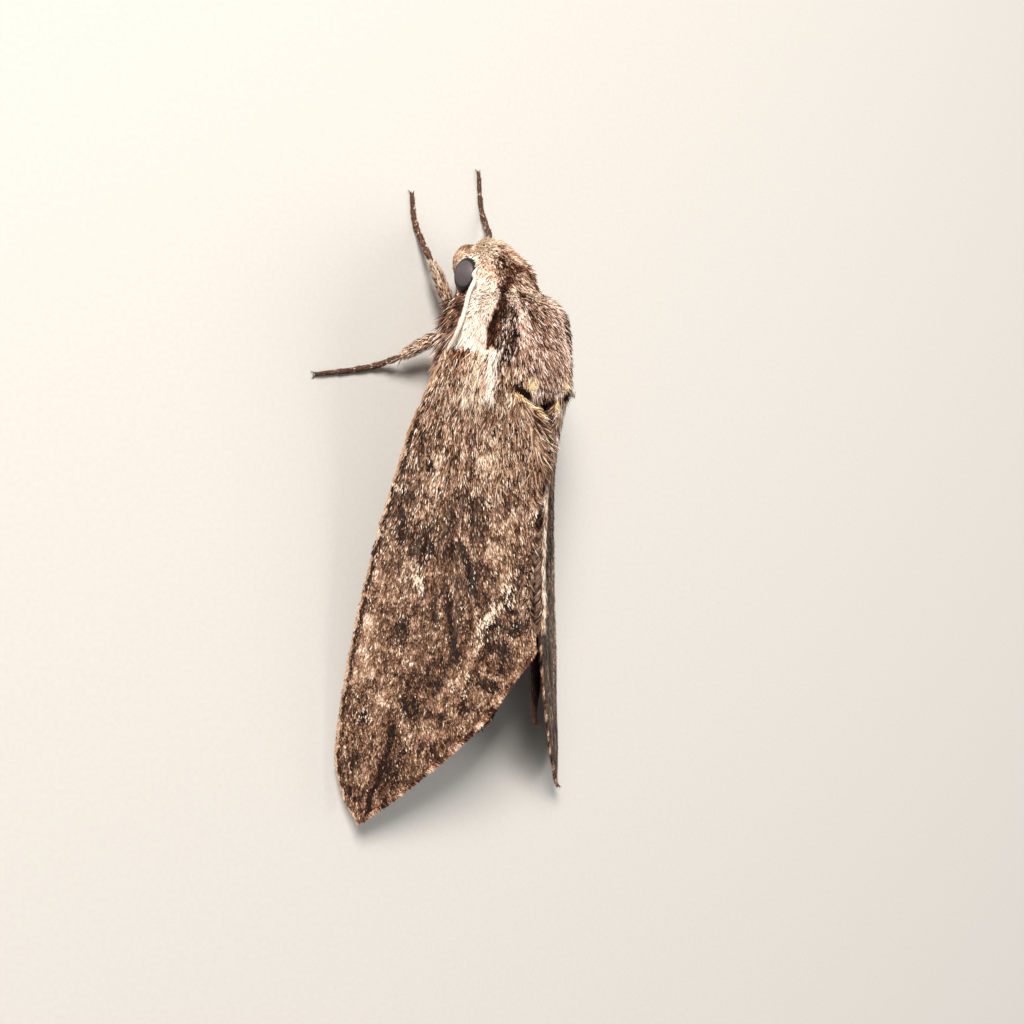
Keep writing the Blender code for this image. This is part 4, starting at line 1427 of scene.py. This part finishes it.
def wing_locks(side, rng, density, width):
    """The hair over a forewing's root, along its inner margin, and in the fringe of its outer margin."""
    parts = []
    for sides, run, start, reach, count, longest, rise, inward, tone, spread, runs, hue in WING_LOCKS:
        if side not in sides:
            continue
        count = int(count * density)
        s, t = rng.uniform(*run, count), rng.uniform(*reach, count)
        if start == "hinge":
            s = s + rng.exponential(0.5, count) - 0.5
        else:
            t = t + smooth_line(FOREWING["trailing"], s)
        roots, along, across, normals = wing_frame(FOREWING, side, s, t, np.full(count, WING_COAT_DEPTH))
        spot = np.stack([s, t], axis=1)
        turn = np.radians(inward + rng.normal(0, 14, count)) + 0.3 * noise(spot, 1.1, SEED + 55)
        lift = np.radians(rise + rng.normal(0, 6, count))[:, None]
        ways = along * np.cos(turn)[:, None] + across * np.sin(turn)[:, None]
        ways = ways * np.cos(lift) + normals * np.sin(lift)
        clump = 0.2 * noise(spot, 0.3, SEED + 56) + 0.15 * noise(spot, 0.7, SEED + 57)
        tones = tone + (clump + spread * rng.standard_normal(count)) * min(1, 5 * spread)
        tones = tones + runs * np.cos(s * 2 * math.pi / SCALLOP)
        colours = tone_colours(tones, np.tile(HUES[hue], (count, 1)))
        length = longest * rng.uniform(0.6, 1.25, count)
        spots = wing_unwrap(s, t, 3, 5)
        parts.append((roots, ways, normals, length, width * rng.uniform(0.7, 1.25, count), colours, spots))
    roots, ways, normals, length, widths, colours, spots = (np.concatenate(grid) for grid in zip(*parts))
    return tufts(roots, ways, normals, length, widths, 0.12, colours, spots, False)


def wing_scales(wing, side, run, count, below, rng, longer):
    """The scales of one face of a wing, over this run along it."""
    s = np.linspace(*run, 400)
    lead, trail = wing_edges(wing, s)
    share = np.cumsum(np.maximum(trail - lead, 0.02))
    steps = (np.arange(count) + rng.random(count)) / count * share[-1]
    s = np.interp(steps, share, s)
    lead, trail = wing_edges(wing, s)
    edge = WING_COAT_DEPTH * 0.8
    v = (np.arange(count) * 0.6180339887 + 0.02 * rng.random(count)) % 1
    t = lead + edge + (trail - lead - 2 * edge) * v
    length = straight_line(SCALE_LENGTH, s) * rng.uniform(0.7, 1.3, count) * longer
    width = straight_line(SCALE_WIDTH, s) * rng.uniform(0.75, 1.25, count)
    lift = np.radians(straight_line(SCALE_LIFT, s) + rng.normal(0, 4, count))
    depth = np.full(count, WING_COAT_DEPTH)
    rim = 1 - ease(t - lead, RIM_WIDTH, RIM_WIDTH + 0.2)
    lift = lift * (1 - 0.75 * rim)
    if below:
        depth += WING_MEMBRANE * 0.9
        lift = -lift * 0.5
        length *= 0.7
    roots, along, across, normals = wing_frame(wing, side, s, t, depth)
    front = (straight_line(wing["leading"], s + 0.5) - straight_line(wing["leading"], s - 0.5)) * (1 - v) ** 2
    turn = np.arctan(front + 0.5 * v * ease(s, 2, 8) + 0.12 * v)
    spot = np.stack([s, t], axis=1)
    turn = turn + 0.16 * noise(spot, 1.4, SEED + 50) + 0.12 * noise(spot, 0.4, SEED + 51)
    turn = turn + rng.normal(0, 0.12, count)
    ways = along * np.cos(turn)[:, None] + across * np.sin(turn)[:, None]
    ways = ways * np.cos(lift)[:, None] + normals * np.sin(lift)[:, None]
    tone, hue, dark, pale = wing_tones(wing, s, t)
    if below:
        tone = UNDERSIDE_TONE + 0.05 * noise(spot, 1.5, SEED + 52)
        dark, pale = np.zeros((2, count))
    differ = rng.standard_normal(count)
    differ = differ + 0.15 * (differ**2 - 1)
    tone = tone + straight_line(SCALE_SPREAD, s) * differ * (1 - 0.7 * rim)
    chance = rng.random(count)
    tone = np.where(chance < pale, PALE_SCALE + 0.06 * rng.standard_normal(count), tone)
    tone = np.where(1 - chance < dark, DARK_SCALE + 0.07 * rng.standard_normal(count), tone)
    spots = wing_unwrap(s, t, 2, 4)
    faces_out = -normals if below else normals
    return tufts(roots, ways, faces_out, length, width, 0.06, tone_colours(tone, hue), spots, True)


def leg_scales(leg, number, rng, density):
    """The scales along a leg, with places on the unwrap in this leg's own strip."""
    shapes = []
    for part, (name, line, radii) in enumerate(limb_parts(leg)):
        count = int(LEG_SCALES[name] * density)
        at = rng.random(count)
        station = at * (len(line) - 1)
        ways, sides, ups = tube_axes(line)
        i = np.minimum(station.astype(int), len(line) - 2)
        mix = (station - i)[:, None]
        middle, way, side, up = (grid[i] * (1 - mix) + grid[i + 1] * mix for grid in (line, ways, sides, ups))
        angle = rng.uniform(0, 2 * math.pi, count)[:, None]
        out = unit(side * np.cos(angle) + up * np.sin(angle))
        roots = middle + out * np.interp(station, np.arange(len(line)), radii)[:, None] * 0.98
        tarsal = name == "tarsus"
        joint = (at * TARSUS_JOINTS) % 1
        length = rng.uniform(0.22, 0.36, count) if tarsal else rng.uniform(0.4, 0.75, count)
        lift = np.radians(rng.normal(19 if tarsal else 21, 6, count))[:, None]
        turn = rng.normal(0, 0.16, count)[:, None]
        flow = unit(way + np.cross(out, way) * turn)
        flow = flow * np.cos(lift) + out * np.sin(lift)
        keep = (roots[:, 2] + flow[:, 2] * length) > 0.05
        keep &= roots[:, 2] > 0.06
        if tarsal:
            tone = 0.44 + 0.4 * ease(joint, 0.86, 0.93) + 0.14 * rng.standard_normal(count)
        else:
            tone = 0.77 + 0.12 * noise(roots, 0.9, SEED + 60) + 0.2 * rng.standard_normal(count)
            tone += 0.2 * ease(at, 0.9, 0.96)
        hue = np.where(rng.random(count)[:, None] < 0.5, HUES["tan"], HUES["russet"])
        spots = np.concatenate([(number + angle / (2 * math.pi)) / 6, (part + at[:, None]) / 3], axis=1)
        spots = np.clip(spots, PATCH, 1 - PATCH)
        colours = tone_colours(tone, hue)
        width = rng.uniform(0.09, 0.13, count)
        shapes.append([grid[keep] for grid in (roots, flow, out, length, width, colours, spots)])
    roots, flow, out, length, width, colours, spots = (np.concatenate(grid) for grid in zip(*shapes))
    return tufts(roots, flow, out, length, width, 0.06, colours, spots, True)


def spines_of(name, leg):
    """The bare or thinly scaled spines of a leg: its spurs, the rows beneath its tarsus, and its claws."""
    _, knee, ankle, *way = leg
    side = 1.0 if "left" in name else -1.0
    tarsus = bent((ankle, *way), TARSUS_STATIONS)
    ways, sides, _ = tube_axes(tarsus)
    for joint in range(1, TARSUS_JOINTS + 1):
        at = int(joint / TARSUS_JOINTS * (TARSUS_STATIONS - 1)) - 2
        for hand in (-1, 1):
            aim = ways[at] + hand * 0.55 * sides[at] + (0, 0, -0.15)
            start = tarsus[at] + hand * 0.12 * sides[at]
            yield "dark", thorn(start, aim, 0.34, 0.035)
            start = tarsus[at - 6] + hand * 0.14 * sides[at - 6]
            yield "dark", thorn(start, ways[at] + hand * 0.5 * sides[at], 0.22, 0.028)
    toe, last = tarsus[-1], ways[-1]
    for hand in (-1, 1):
        across = hand * sides[-1]
        start = toe - last * 0.12 + across * 0.06
        yield "dark", thorn(start, last + across * 0.7 + (0, 0, 0.25), 0.62, 0.075, (0, 0, -0.42))
    yield "dark", thorn(toe - last * 0.15, last + (0, 0, -0.12), 0.34, 0.12)
    tibia = unit(ankle - knee)
    out = unit(np.cross(tibia, (0, 0, side)))
    if name.startswith("midleg"):
        yield "tan", thorn(ankle, tibia + out * 0.35 + (0, 0.35, 0.1), 2.5, 0.13, (0, 0, -0.05))
        yield "tan", thorn(ankle, tibia - out * 0.3 + (0, 0.5, 0.1), 1.5, 0.11)
    if name.startswith("hindleg"):
        for start, size in ((ankle, 1.0), (knee + (ankle - knee) * 0.62, 0.85)):
            yield "tan", thorn(start, tibia + out * 0.45 + (0, 0, 0.1), 2.1 * size, 0.12)
            yield "tan", thorn(start, tibia - out * 0.45 + (0, 0, 0.1), 1.4 * size, 0.1)
    if name.startswith("foreleg"):
        outer = unit(np.array((side, 0.1, 0.25)))
        for share, length, aim in ((0.42, 1.15, -0.5), (0.6, 1.1, 0.1), (0.78, 0.7, 0.7)):
            start = knee + (ankle - knee) * share + outer * 0.3
            yield "dark", thorn(start, outer + tibia * (0.6 + aim * 0.4), length, 0.08, (0, -0.1, -0.1))
        yield "pale", thorn(ankle, tibia * 0.4 + outer * 0.7 + (0, 0, -0.2), 0.9, 0.08)


def antenna_line(hand):
    """The line and radii of an antenna, which lies nearer the head than its rod and starts deeper in fur."""
    line = bent(np.array(ANTENNA) * (hand, 1, 1), ANTENNA_STATIONS)
    share = np.linspace(0, 1, ANTENNA_STATIONS)
    beside = between(share, 0.08, 0.5, 0.08)
    line[:, 0] -= ANTENNA_NEAR[0] * hand * beside
    line[:, 2] += ANTENNA_NEAR[1] * beside
    line[:, 2] -= RIGHT_TUCK * (hand < 0) * between(share, 0.02, 0.4, 0.1)
    line[:, 2] -= ROOT_TUCK * (1 - ease(share, 0.05, 0.12))
    ridges = 1 + RING_HEIGHT * np.cos(share * ANTENNA_RINGS * 2 * math.pi)
    return line, straight_line(ANTENNA_RADII, share) * ridges * rounded_ends(share)


def antenna_scales(line, radii, hand, rng, count):
    """The pale scales that cover an antenna's outer and upper sides, and a few over the rest."""
    at = rng.random(count)
    station = at * (len(line) - 1)
    ways, sides, ups = tube_axes(line)
    i = np.minimum(station.astype(int), len(line) - 2)
    angle = rng.uniform(0, 2 * math.pi, count)[:, None]
    out = unit(sides[i] * np.cos(angle) + ups[i] * np.sin(angle))
    pale = out @ unit(np.array(PALE_SIDE) * (hand, 1, 1)) > -0.3 + 0.08 * rng.standard_normal(count)
    keep = pale | (rng.random(count) < 0.25)
    roots = line[i] + out * np.interp(station, np.arange(len(line)), radii)[:, None] * 0.96
    turn = rng.normal(0, 0.12, count)[:, None]
    lift = np.radians(rng.normal(5, 2, count))[:, None]
    flow = unit(ways[i] + np.cross(out, ways[i]) * turn) * np.cos(lift) + out * np.sin(lift)
    tone = np.where(pale, 1.06 - 0.1 * at, 0.3) + 0.03 * rng.standard_normal(count)
    colours = tone_colours(tone, np.tile(HUES["cream"], (count, 1)))
    length = rng.uniform(0.3, 0.45, count)
    width = rng.uniform(0.06, 0.09, count)
    spots = np.clip(np.stack([angle[:, 0] / (2 * math.pi), at], axis=1), PATCH, 1 - PATCH)
    *shapes, colours, spots = [grid[keep] for grid in (roots, flow, out, length, width, colours, spots)]
    return tufts(*shapes, 0.05, colours, spots, True)


def facing_in(places, triangles):
    """Whether a closed mesh's triangles face inwards."""
    return np.linalg.det(places[triangles]).sum() < 0


def eye_dome(side):
    """A domed eye whose edge lies under the fur: its places, triangles, and degrees from its grey part."""
    mirror = (SIDES[side], 1, 1)
    axis = unit(np.array(EYE_AXIS) * mirror)
    right = unit(np.cross(axis, (0, 0, 1)))
    up = np.cross(right, axis)
    polar = np.linspace(0.02, math.radians(EYE_END), EYE_RINGS)
    radius = EYE_RADIUS * (EYE_BULGE - EYE_TUCK * ease(np.degrees(polar), EYE_OPEN - 8, EYE_OPEN + 14))
    angle = np.linspace(0, 2 * math.pi, EYE_AROUND, endpoint=False)
    ring = np.cos(angle)[:, None] * right + np.sin(angle)[:, None] * up
    places = np.cos(polar)[:, None, None] * axis + np.sin(polar)[:, None, None] * ring
    places = (places * radius[:, None, None]).reshape(-1, 3)
    places = np.concatenate([places, [axis * radius[0]], [axis * radius[-1] * np.cos(polar[-1])]])
    index = np.arange(EYE_RINGS * EYE_AROUND).reshape(EYE_RINGS, EYE_AROUND)
    after = np.roll(index, -1, axis=1)
    walls = np.stack([index[:-1], index[1:], after[1:], after[:-1]], axis=-1).reshape(-1, 4)
    front, back = EYE_RINGS * EYE_AROUND, EYE_RINGS * EYE_AROUND + 1
    caps = [np.stack([index[0], after[0], np.full(EYE_AROUND, front)], axis=1)]
    caps.append(np.stack([after[-1], index[-1], np.full(EYE_AROUND, back)], axis=1))
    triangles = np.concatenate([triangles_of(walls), *caps])
    if facing_in(places, triangles):
        triangles = triangles[:, ::-1]
    grey = unit(np.array(EYE_GREY) * mirror)
    from_grey = np.degrees(np.arccos(np.clip(unit(places) @ grey, -1, 1)))
    return np.array(EYE_PLACE) * mirror + places * (1, EYE_LONG, 1), triangles, from_grey


def add_light(scene, name, place, target, size, power, colour):
    """A soft square light at a place, aimed at another, in metres and watts."""
    lamp = bpy.data.lights.new(name, "AREA")
    lamp.shape = "SQUARE"
    lamp.size = size
    lamp.energy = power
    lamp.color = linear(colour)
    shown = bpy.data.objects.new(name, lamp)
    shown.location = place
    shown.rotation_mode = "QUATERNION"
    shown.rotation_quaternion = (Vector(target) - Vector(place)).to_track_quat("-Z", "Y")
    scene.collection.objects.link(shown)


def build_stage(scene):
    """A pale floor, soft studio light and the camera."""
    floor = bpy.data.meshes.new("floor")
    half = FLOOR_WIDTH / 2
    corners = ((-half, -half, 0), (half, -half, 0), (half, half, 0), (-half, half, 0))
    floor.from_pydata(corners, [], [(0, 1, 2, 3)])
    floor.materials.append(material("Matt_Card"))
    ground = bpy.data.objects.new("floor", floor)
    scene.collection.objects.link(ground)

    world = bpy.data.worlds.new("Studio")
    world.use_nodes = True
    colour, strength = DAYLIGHT
    world.node_tree.nodes["Background"].inputs["Color"].default_value = (*linear(colour), 1)
    world.node_tree.nodes["Background"].inputs["Strength"].default_value = strength
    scene.world = world
    for light in LIGHTS:
        add_light(scene, *light)

    lens = bpy.data.cameras.new("camera")
    lens.sensor_width = CAMERA_SENSOR
    lens.lens = CAMERA_LENS
    lens.clip_start = NEAREST_SEEN
    camera = bpy.data.objects.new("camera", lens)
    right, up, back = (Vector(way) for way in CAMERA_AXES)
    camera.matrix_world = Matrix.Translation(CAMERA_PLACE) @ Matrix((right, up, back)).transposed().to_4x4()
    scene.collection.objects.link(camera)
    scene.camera = camera
    scene.view_settings.view_transform = "Standard"


# ---- sizes and colours that a user may change ----


class HawkMothSizes(bpy.types.PropertyGroup):
    """Sizes of the moth's coat."""

    hair_width: FloatProperty(
        name="Hair Width",
        description="How wide a hair of the body's fur is at its middle",
        default=0.00015,
        min=0.00002,
        precision=6,
        unit="LENGTH",
    )
    fur_length: FloatProperty(
        name="Fur Length",
        description="The body's fur's length, as a share of its real length",
        default=1.0,
        min=0.2,
        max=2.0,
        subtype="FACTOR",
    )
    fur_density: FloatProperty(
        name="Fur Density",
        description="The number of hairs on the body, as a share of the full coat",
        default=1.0,
        min=0.05,
        max=1.0,
        subtype="FACTOR",
    )
    scale_length: FloatProperty(
        name="Scale Length",
        description="The wing scales' length, as a share of their real length",
        default=1.0,
        min=0.2,
        max=2.0,
        subtype="FACTOR",
    )
    scale_density: FloatProperty(
        name="Scale Density",
        description="The number of scales on the wings and legs, as a share of the full coat",
        default=1.0,
        min=0.05,
        max=1.0,
        subtype="FACTOR",
    )
    seed: IntProperty(
        name="Seed",
        description="Chooses one lie of the hairs and scales out of many",
        default=SEED,
        min=1,
    )


def colour_property(name, description, code):
    """A colour that a user may change, given by its sRGB hex code."""
    return FloatVectorProperty(
        name=name, description=description, default=linear(code), subtype="COLOR", size=3, min=0.0, max=1.0
    )


class HawkMothColours(bpy.types.PropertyGroup):
    """Colours of the moth, from its darkest scales to its palest, and of its eyes, claws and spurs."""

    tone_0: colour_property("Black Scales", "The coat's darkest scales", TONE_COLOURS[0])
    tone_1: colour_property("Dark Brown Scales", "The coat's dark scales", TONE_COLOURS[1])
    tone_2: colour_property("Brown Scales", "The coat's brown scales", TONE_COLOURS[2])
    tone_3: colour_property("Tan Scales", "The coat's tan scales", TONE_COLOURS[3])
    tone_4: colour_property("Pale Scales", "The coat's pale scales", TONE_COLOURS[4])
    tone_5: colour_property("Cream Scales", "The coat's palest scales", TONE_COLOURS[5])
    eye: colour_property("Eye", "The pigment behind the eye's lenses", "#544b4d")
    # The rim's colour stands partly for the eye's own dark edge and partly for painted shade, where the fur
    # over it shades it.
    eye_rim_and_shade: colour_property("Eye Rim", "The eye's edge, where it meets the head", "#120d0e")
    claw: colour_property("Claw", "Bare chitin of claws and thorns", "#1f130d")
    spur: colour_property("Spur", "The long spurs of the tibiae", "#8a6446")


class Builder:
    """What the moth's operators share."""

    bl_options = {"REGISTER", "UNDO"}

    @property
    def sizes(self):
        return bpy.context.scene.hawk_moth_sizes

    @property
    def colours(self):
        return bpy.context.scene.hawk_moth_colours


class HAWKMOTH_OT_skin(Builder, bpy.types.Operator):
    """Make the moth's one skin, over its body and its legs"""

    bl_idname = "hawk_moth.skin"
    bl_label = "Skin"

    def execute(self, context):
        build_skin()
        return {"FINISHED"}


class HAWKMOTH_OT_fur(Builder, bpy.types.Operator):
    """Grow the fur of the head, thorax, breast and abdomen"""

    bl_idname = "hawk_moth.fur"
    bl_label = "Body Fur"

    def execute(self, context):
        build_body_coat(context)
        return {"FINISHED"}


class HAWKMOTH_OT_forewings(Builder, bpy.types.Operator):
    """Make the forewings' membranes and their scales"""

    bl_idname = "hawk_moth.forewings"
    bl_label = "Forewings"

    def execute(self, context):
        sizes = self.sizes
        for side, counts in FOREWING_SCALES.items():
            build_wing(context, "forewing", side, counts)
            rng = np.random.default_rng(sizes.seed + 400 + int(SIDES[side]))
            locks = wing_locks(side, rng, sizes.scale_density, sizes.hair_width / MM)
            add_coat(f"forewing_{side}_locks", locks, "Body_Fur", "wing_scales")
        return {"FINISHED"}


class HAWKMOTH_OT_hindwings(Builder, bpy.types.Operator):
    """Make the hindwings' membranes and their scales"""

    bl_idname = "hawk_moth.hindwings"
    bl_label = "Hindwings"

    def execute(self, context):
        for side, counts in HINDWING_SCALES.items():
            build_wing(context, "hindwing", side, counts)
        return {"FINISHED"}


class HAWKMOTH_OT_eyes(Builder, bpy.types.Operator):
    """Make the two compound eyes"""

    bl_idname = "hawk_moth.eyes"
    bl_label = "Eyes"

    def execute(self, context):
        for side in SIDES:
            places, triangles, degrees = eye_dome(side)
            # The black ring is partly the eye's dark rim and partly painted shade from the fur over its edge.
            rim = ease(degrees, EYE_GREY_WIDTH - 3, EYE_GREY_WIDTH + 3)[:, None]
            colours = np.array(self.colours.eye) * (1 - rim) + np.array(self.colours.eye_rim_and_shade) * rim
            name = f"eye_{side}"
            finish = material("Compound_Eye_Facets")
            add_piece(name + "_lens", places, triangles, colours, finish, "eye", (name,))
        return {"FINISHED"}


class HAWKMOTH_OT_antennae(Builder, bpy.types.Operator):
    """Make the ringed feelers and the pale scales along their outer sides"""

    bl_idname = "hawk_moth.antennae"
    bl_label = "Antennae"

    def execute(self, context):
        for side, hand in SIDES.items():
            name = f"antenna_{side}"
            line, radii = antenna_line(hand)
            places, triangles = tube(line, radii, around=20)
            pale_side = vertex_normals(places, triangles) @ unit(np.array(PALE_SIDE) * (hand, 1, 1))
            tone = 0.2 + 0.78 * ease(pale_side, -0.45, -0.25)
            colours = tone_colours(tone, np.array([HUES["cream"]]))
            finish = material("Leg_Scales")
            add_piece(name + "_shaft", places, triangles, colours, finish, "pale_fur", (name,))
            rng = np.random.default_rng(self.sizes.seed + 300)
            scales = antenna_scales(line, radii, hand, rng, int(ANTENNA_SCALES * self.sizes.scale_density))
            add_coat(name + "_scales", scales, "Body_Fur", "pale_fur")
        return {"FINISHED"}


class HAWKMOTH_OT_legs(Builder, bpy.types.Operator):
    """Make the scales, spurs, spines and claws of the six legs"""

    bl_idname = "hawk_moth.legs"
    bl_label = "Legs"

    def execute(self, context):
        paints = {"dark": self.colours.claw, "tan": self.colours.spur, "pale": self.colours.tone_4}
        parts = []
        for number, (name, leg) in enumerate(all_legs().items()):
            rng = np.random.default_rng(self.sizes.seed + 200 + number)
            scales = leg_scales(leg, number, rng, self.sizes.scale_density)
            add_coat(name + "_scales", scales, "Leg_Scales", "leg_scales")
            for kind, (places, triangles) in spines_of(name, leg):
                places[:, 2] = np.maximum(places[:, 2], 0.01)
                parts.append((places, triangles, np.tile(np.array(paints[kind]), (len(places), 1))))
        add_piece("claws_and_spurs", *joined(parts), material("Claw_Chitin"), "leg_scales")
        return {"FINISHED"}


class HAWKMOTH_OT_stage(Builder, bpy.types.Operator):
    """Make the floor, the lights and the camera"""

    bl_idname = "hawk_moth.stage"
    bl_label = "Stage"

    def execute(self, context):
        build_stage(context.scene)
        return {"FINISHED"}


OPERATORS = (
    HAWKMOTH_OT_skin,
    HAWKMOTH_OT_fur,
    HAWKMOTH_OT_forewings,
    HAWKMOTH_OT_hindwings,
    HAWKMOTH_OT_antennae,
    HAWKMOTH_OT_eyes,
    HAWKMOTH_OT_legs,
    HAWKMOTH_OT_stage,
)


class HAWKMOTH_PT_panel(bpy.types.Panel):
    """Lists the moth's pieces, sizes and colours"""

    bl_label = "Hawk Moth"
    bl_space_type = "VIEW_3D"
    bl_region_type = "UI"
    bl_category = "Hawk Moth"

    def draw(self, context):
        pieces = self.layout.column(align=True)
        for operator in OPERATORS:
            pieces.operator(operator.bl_idname)
        for group in (context.scene.hawk_moth_sizes, context.scene.hawk_moth_colours):
            settings = self.layout.column(align=True)
            for name in type(group).__annotations__:
                settings.prop(group, name)


CLASSES = (HawkMothSizes, HawkMothColours, *OPERATORS, HAWKMOTH_PT_panel)


def register():
    for cls in CLASSES:
        bpy.utils.register_class(cls)
    bpy.types.Scene.hawk_moth_sizes = PointerProperty(type=HawkMothSizes)
    bpy.types.Scene.hawk_moth_colours = PointerProperty(type=HawkMothColours)


def unregister():
    del bpy.types.Scene.hawk_moth_colours
    del bpy.types.Scene.hawk_moth_sizes
    for cls in reversed(CLASSES):
        bpy.utils.unregister_class(cls)


def main():
    register()
    for operator in OPERATORS:
        group, name = operator.bl_idname.split(".")
        getattr(getattr(bpy.ops, group), name)()


if __name__ == "__main__":
    main()
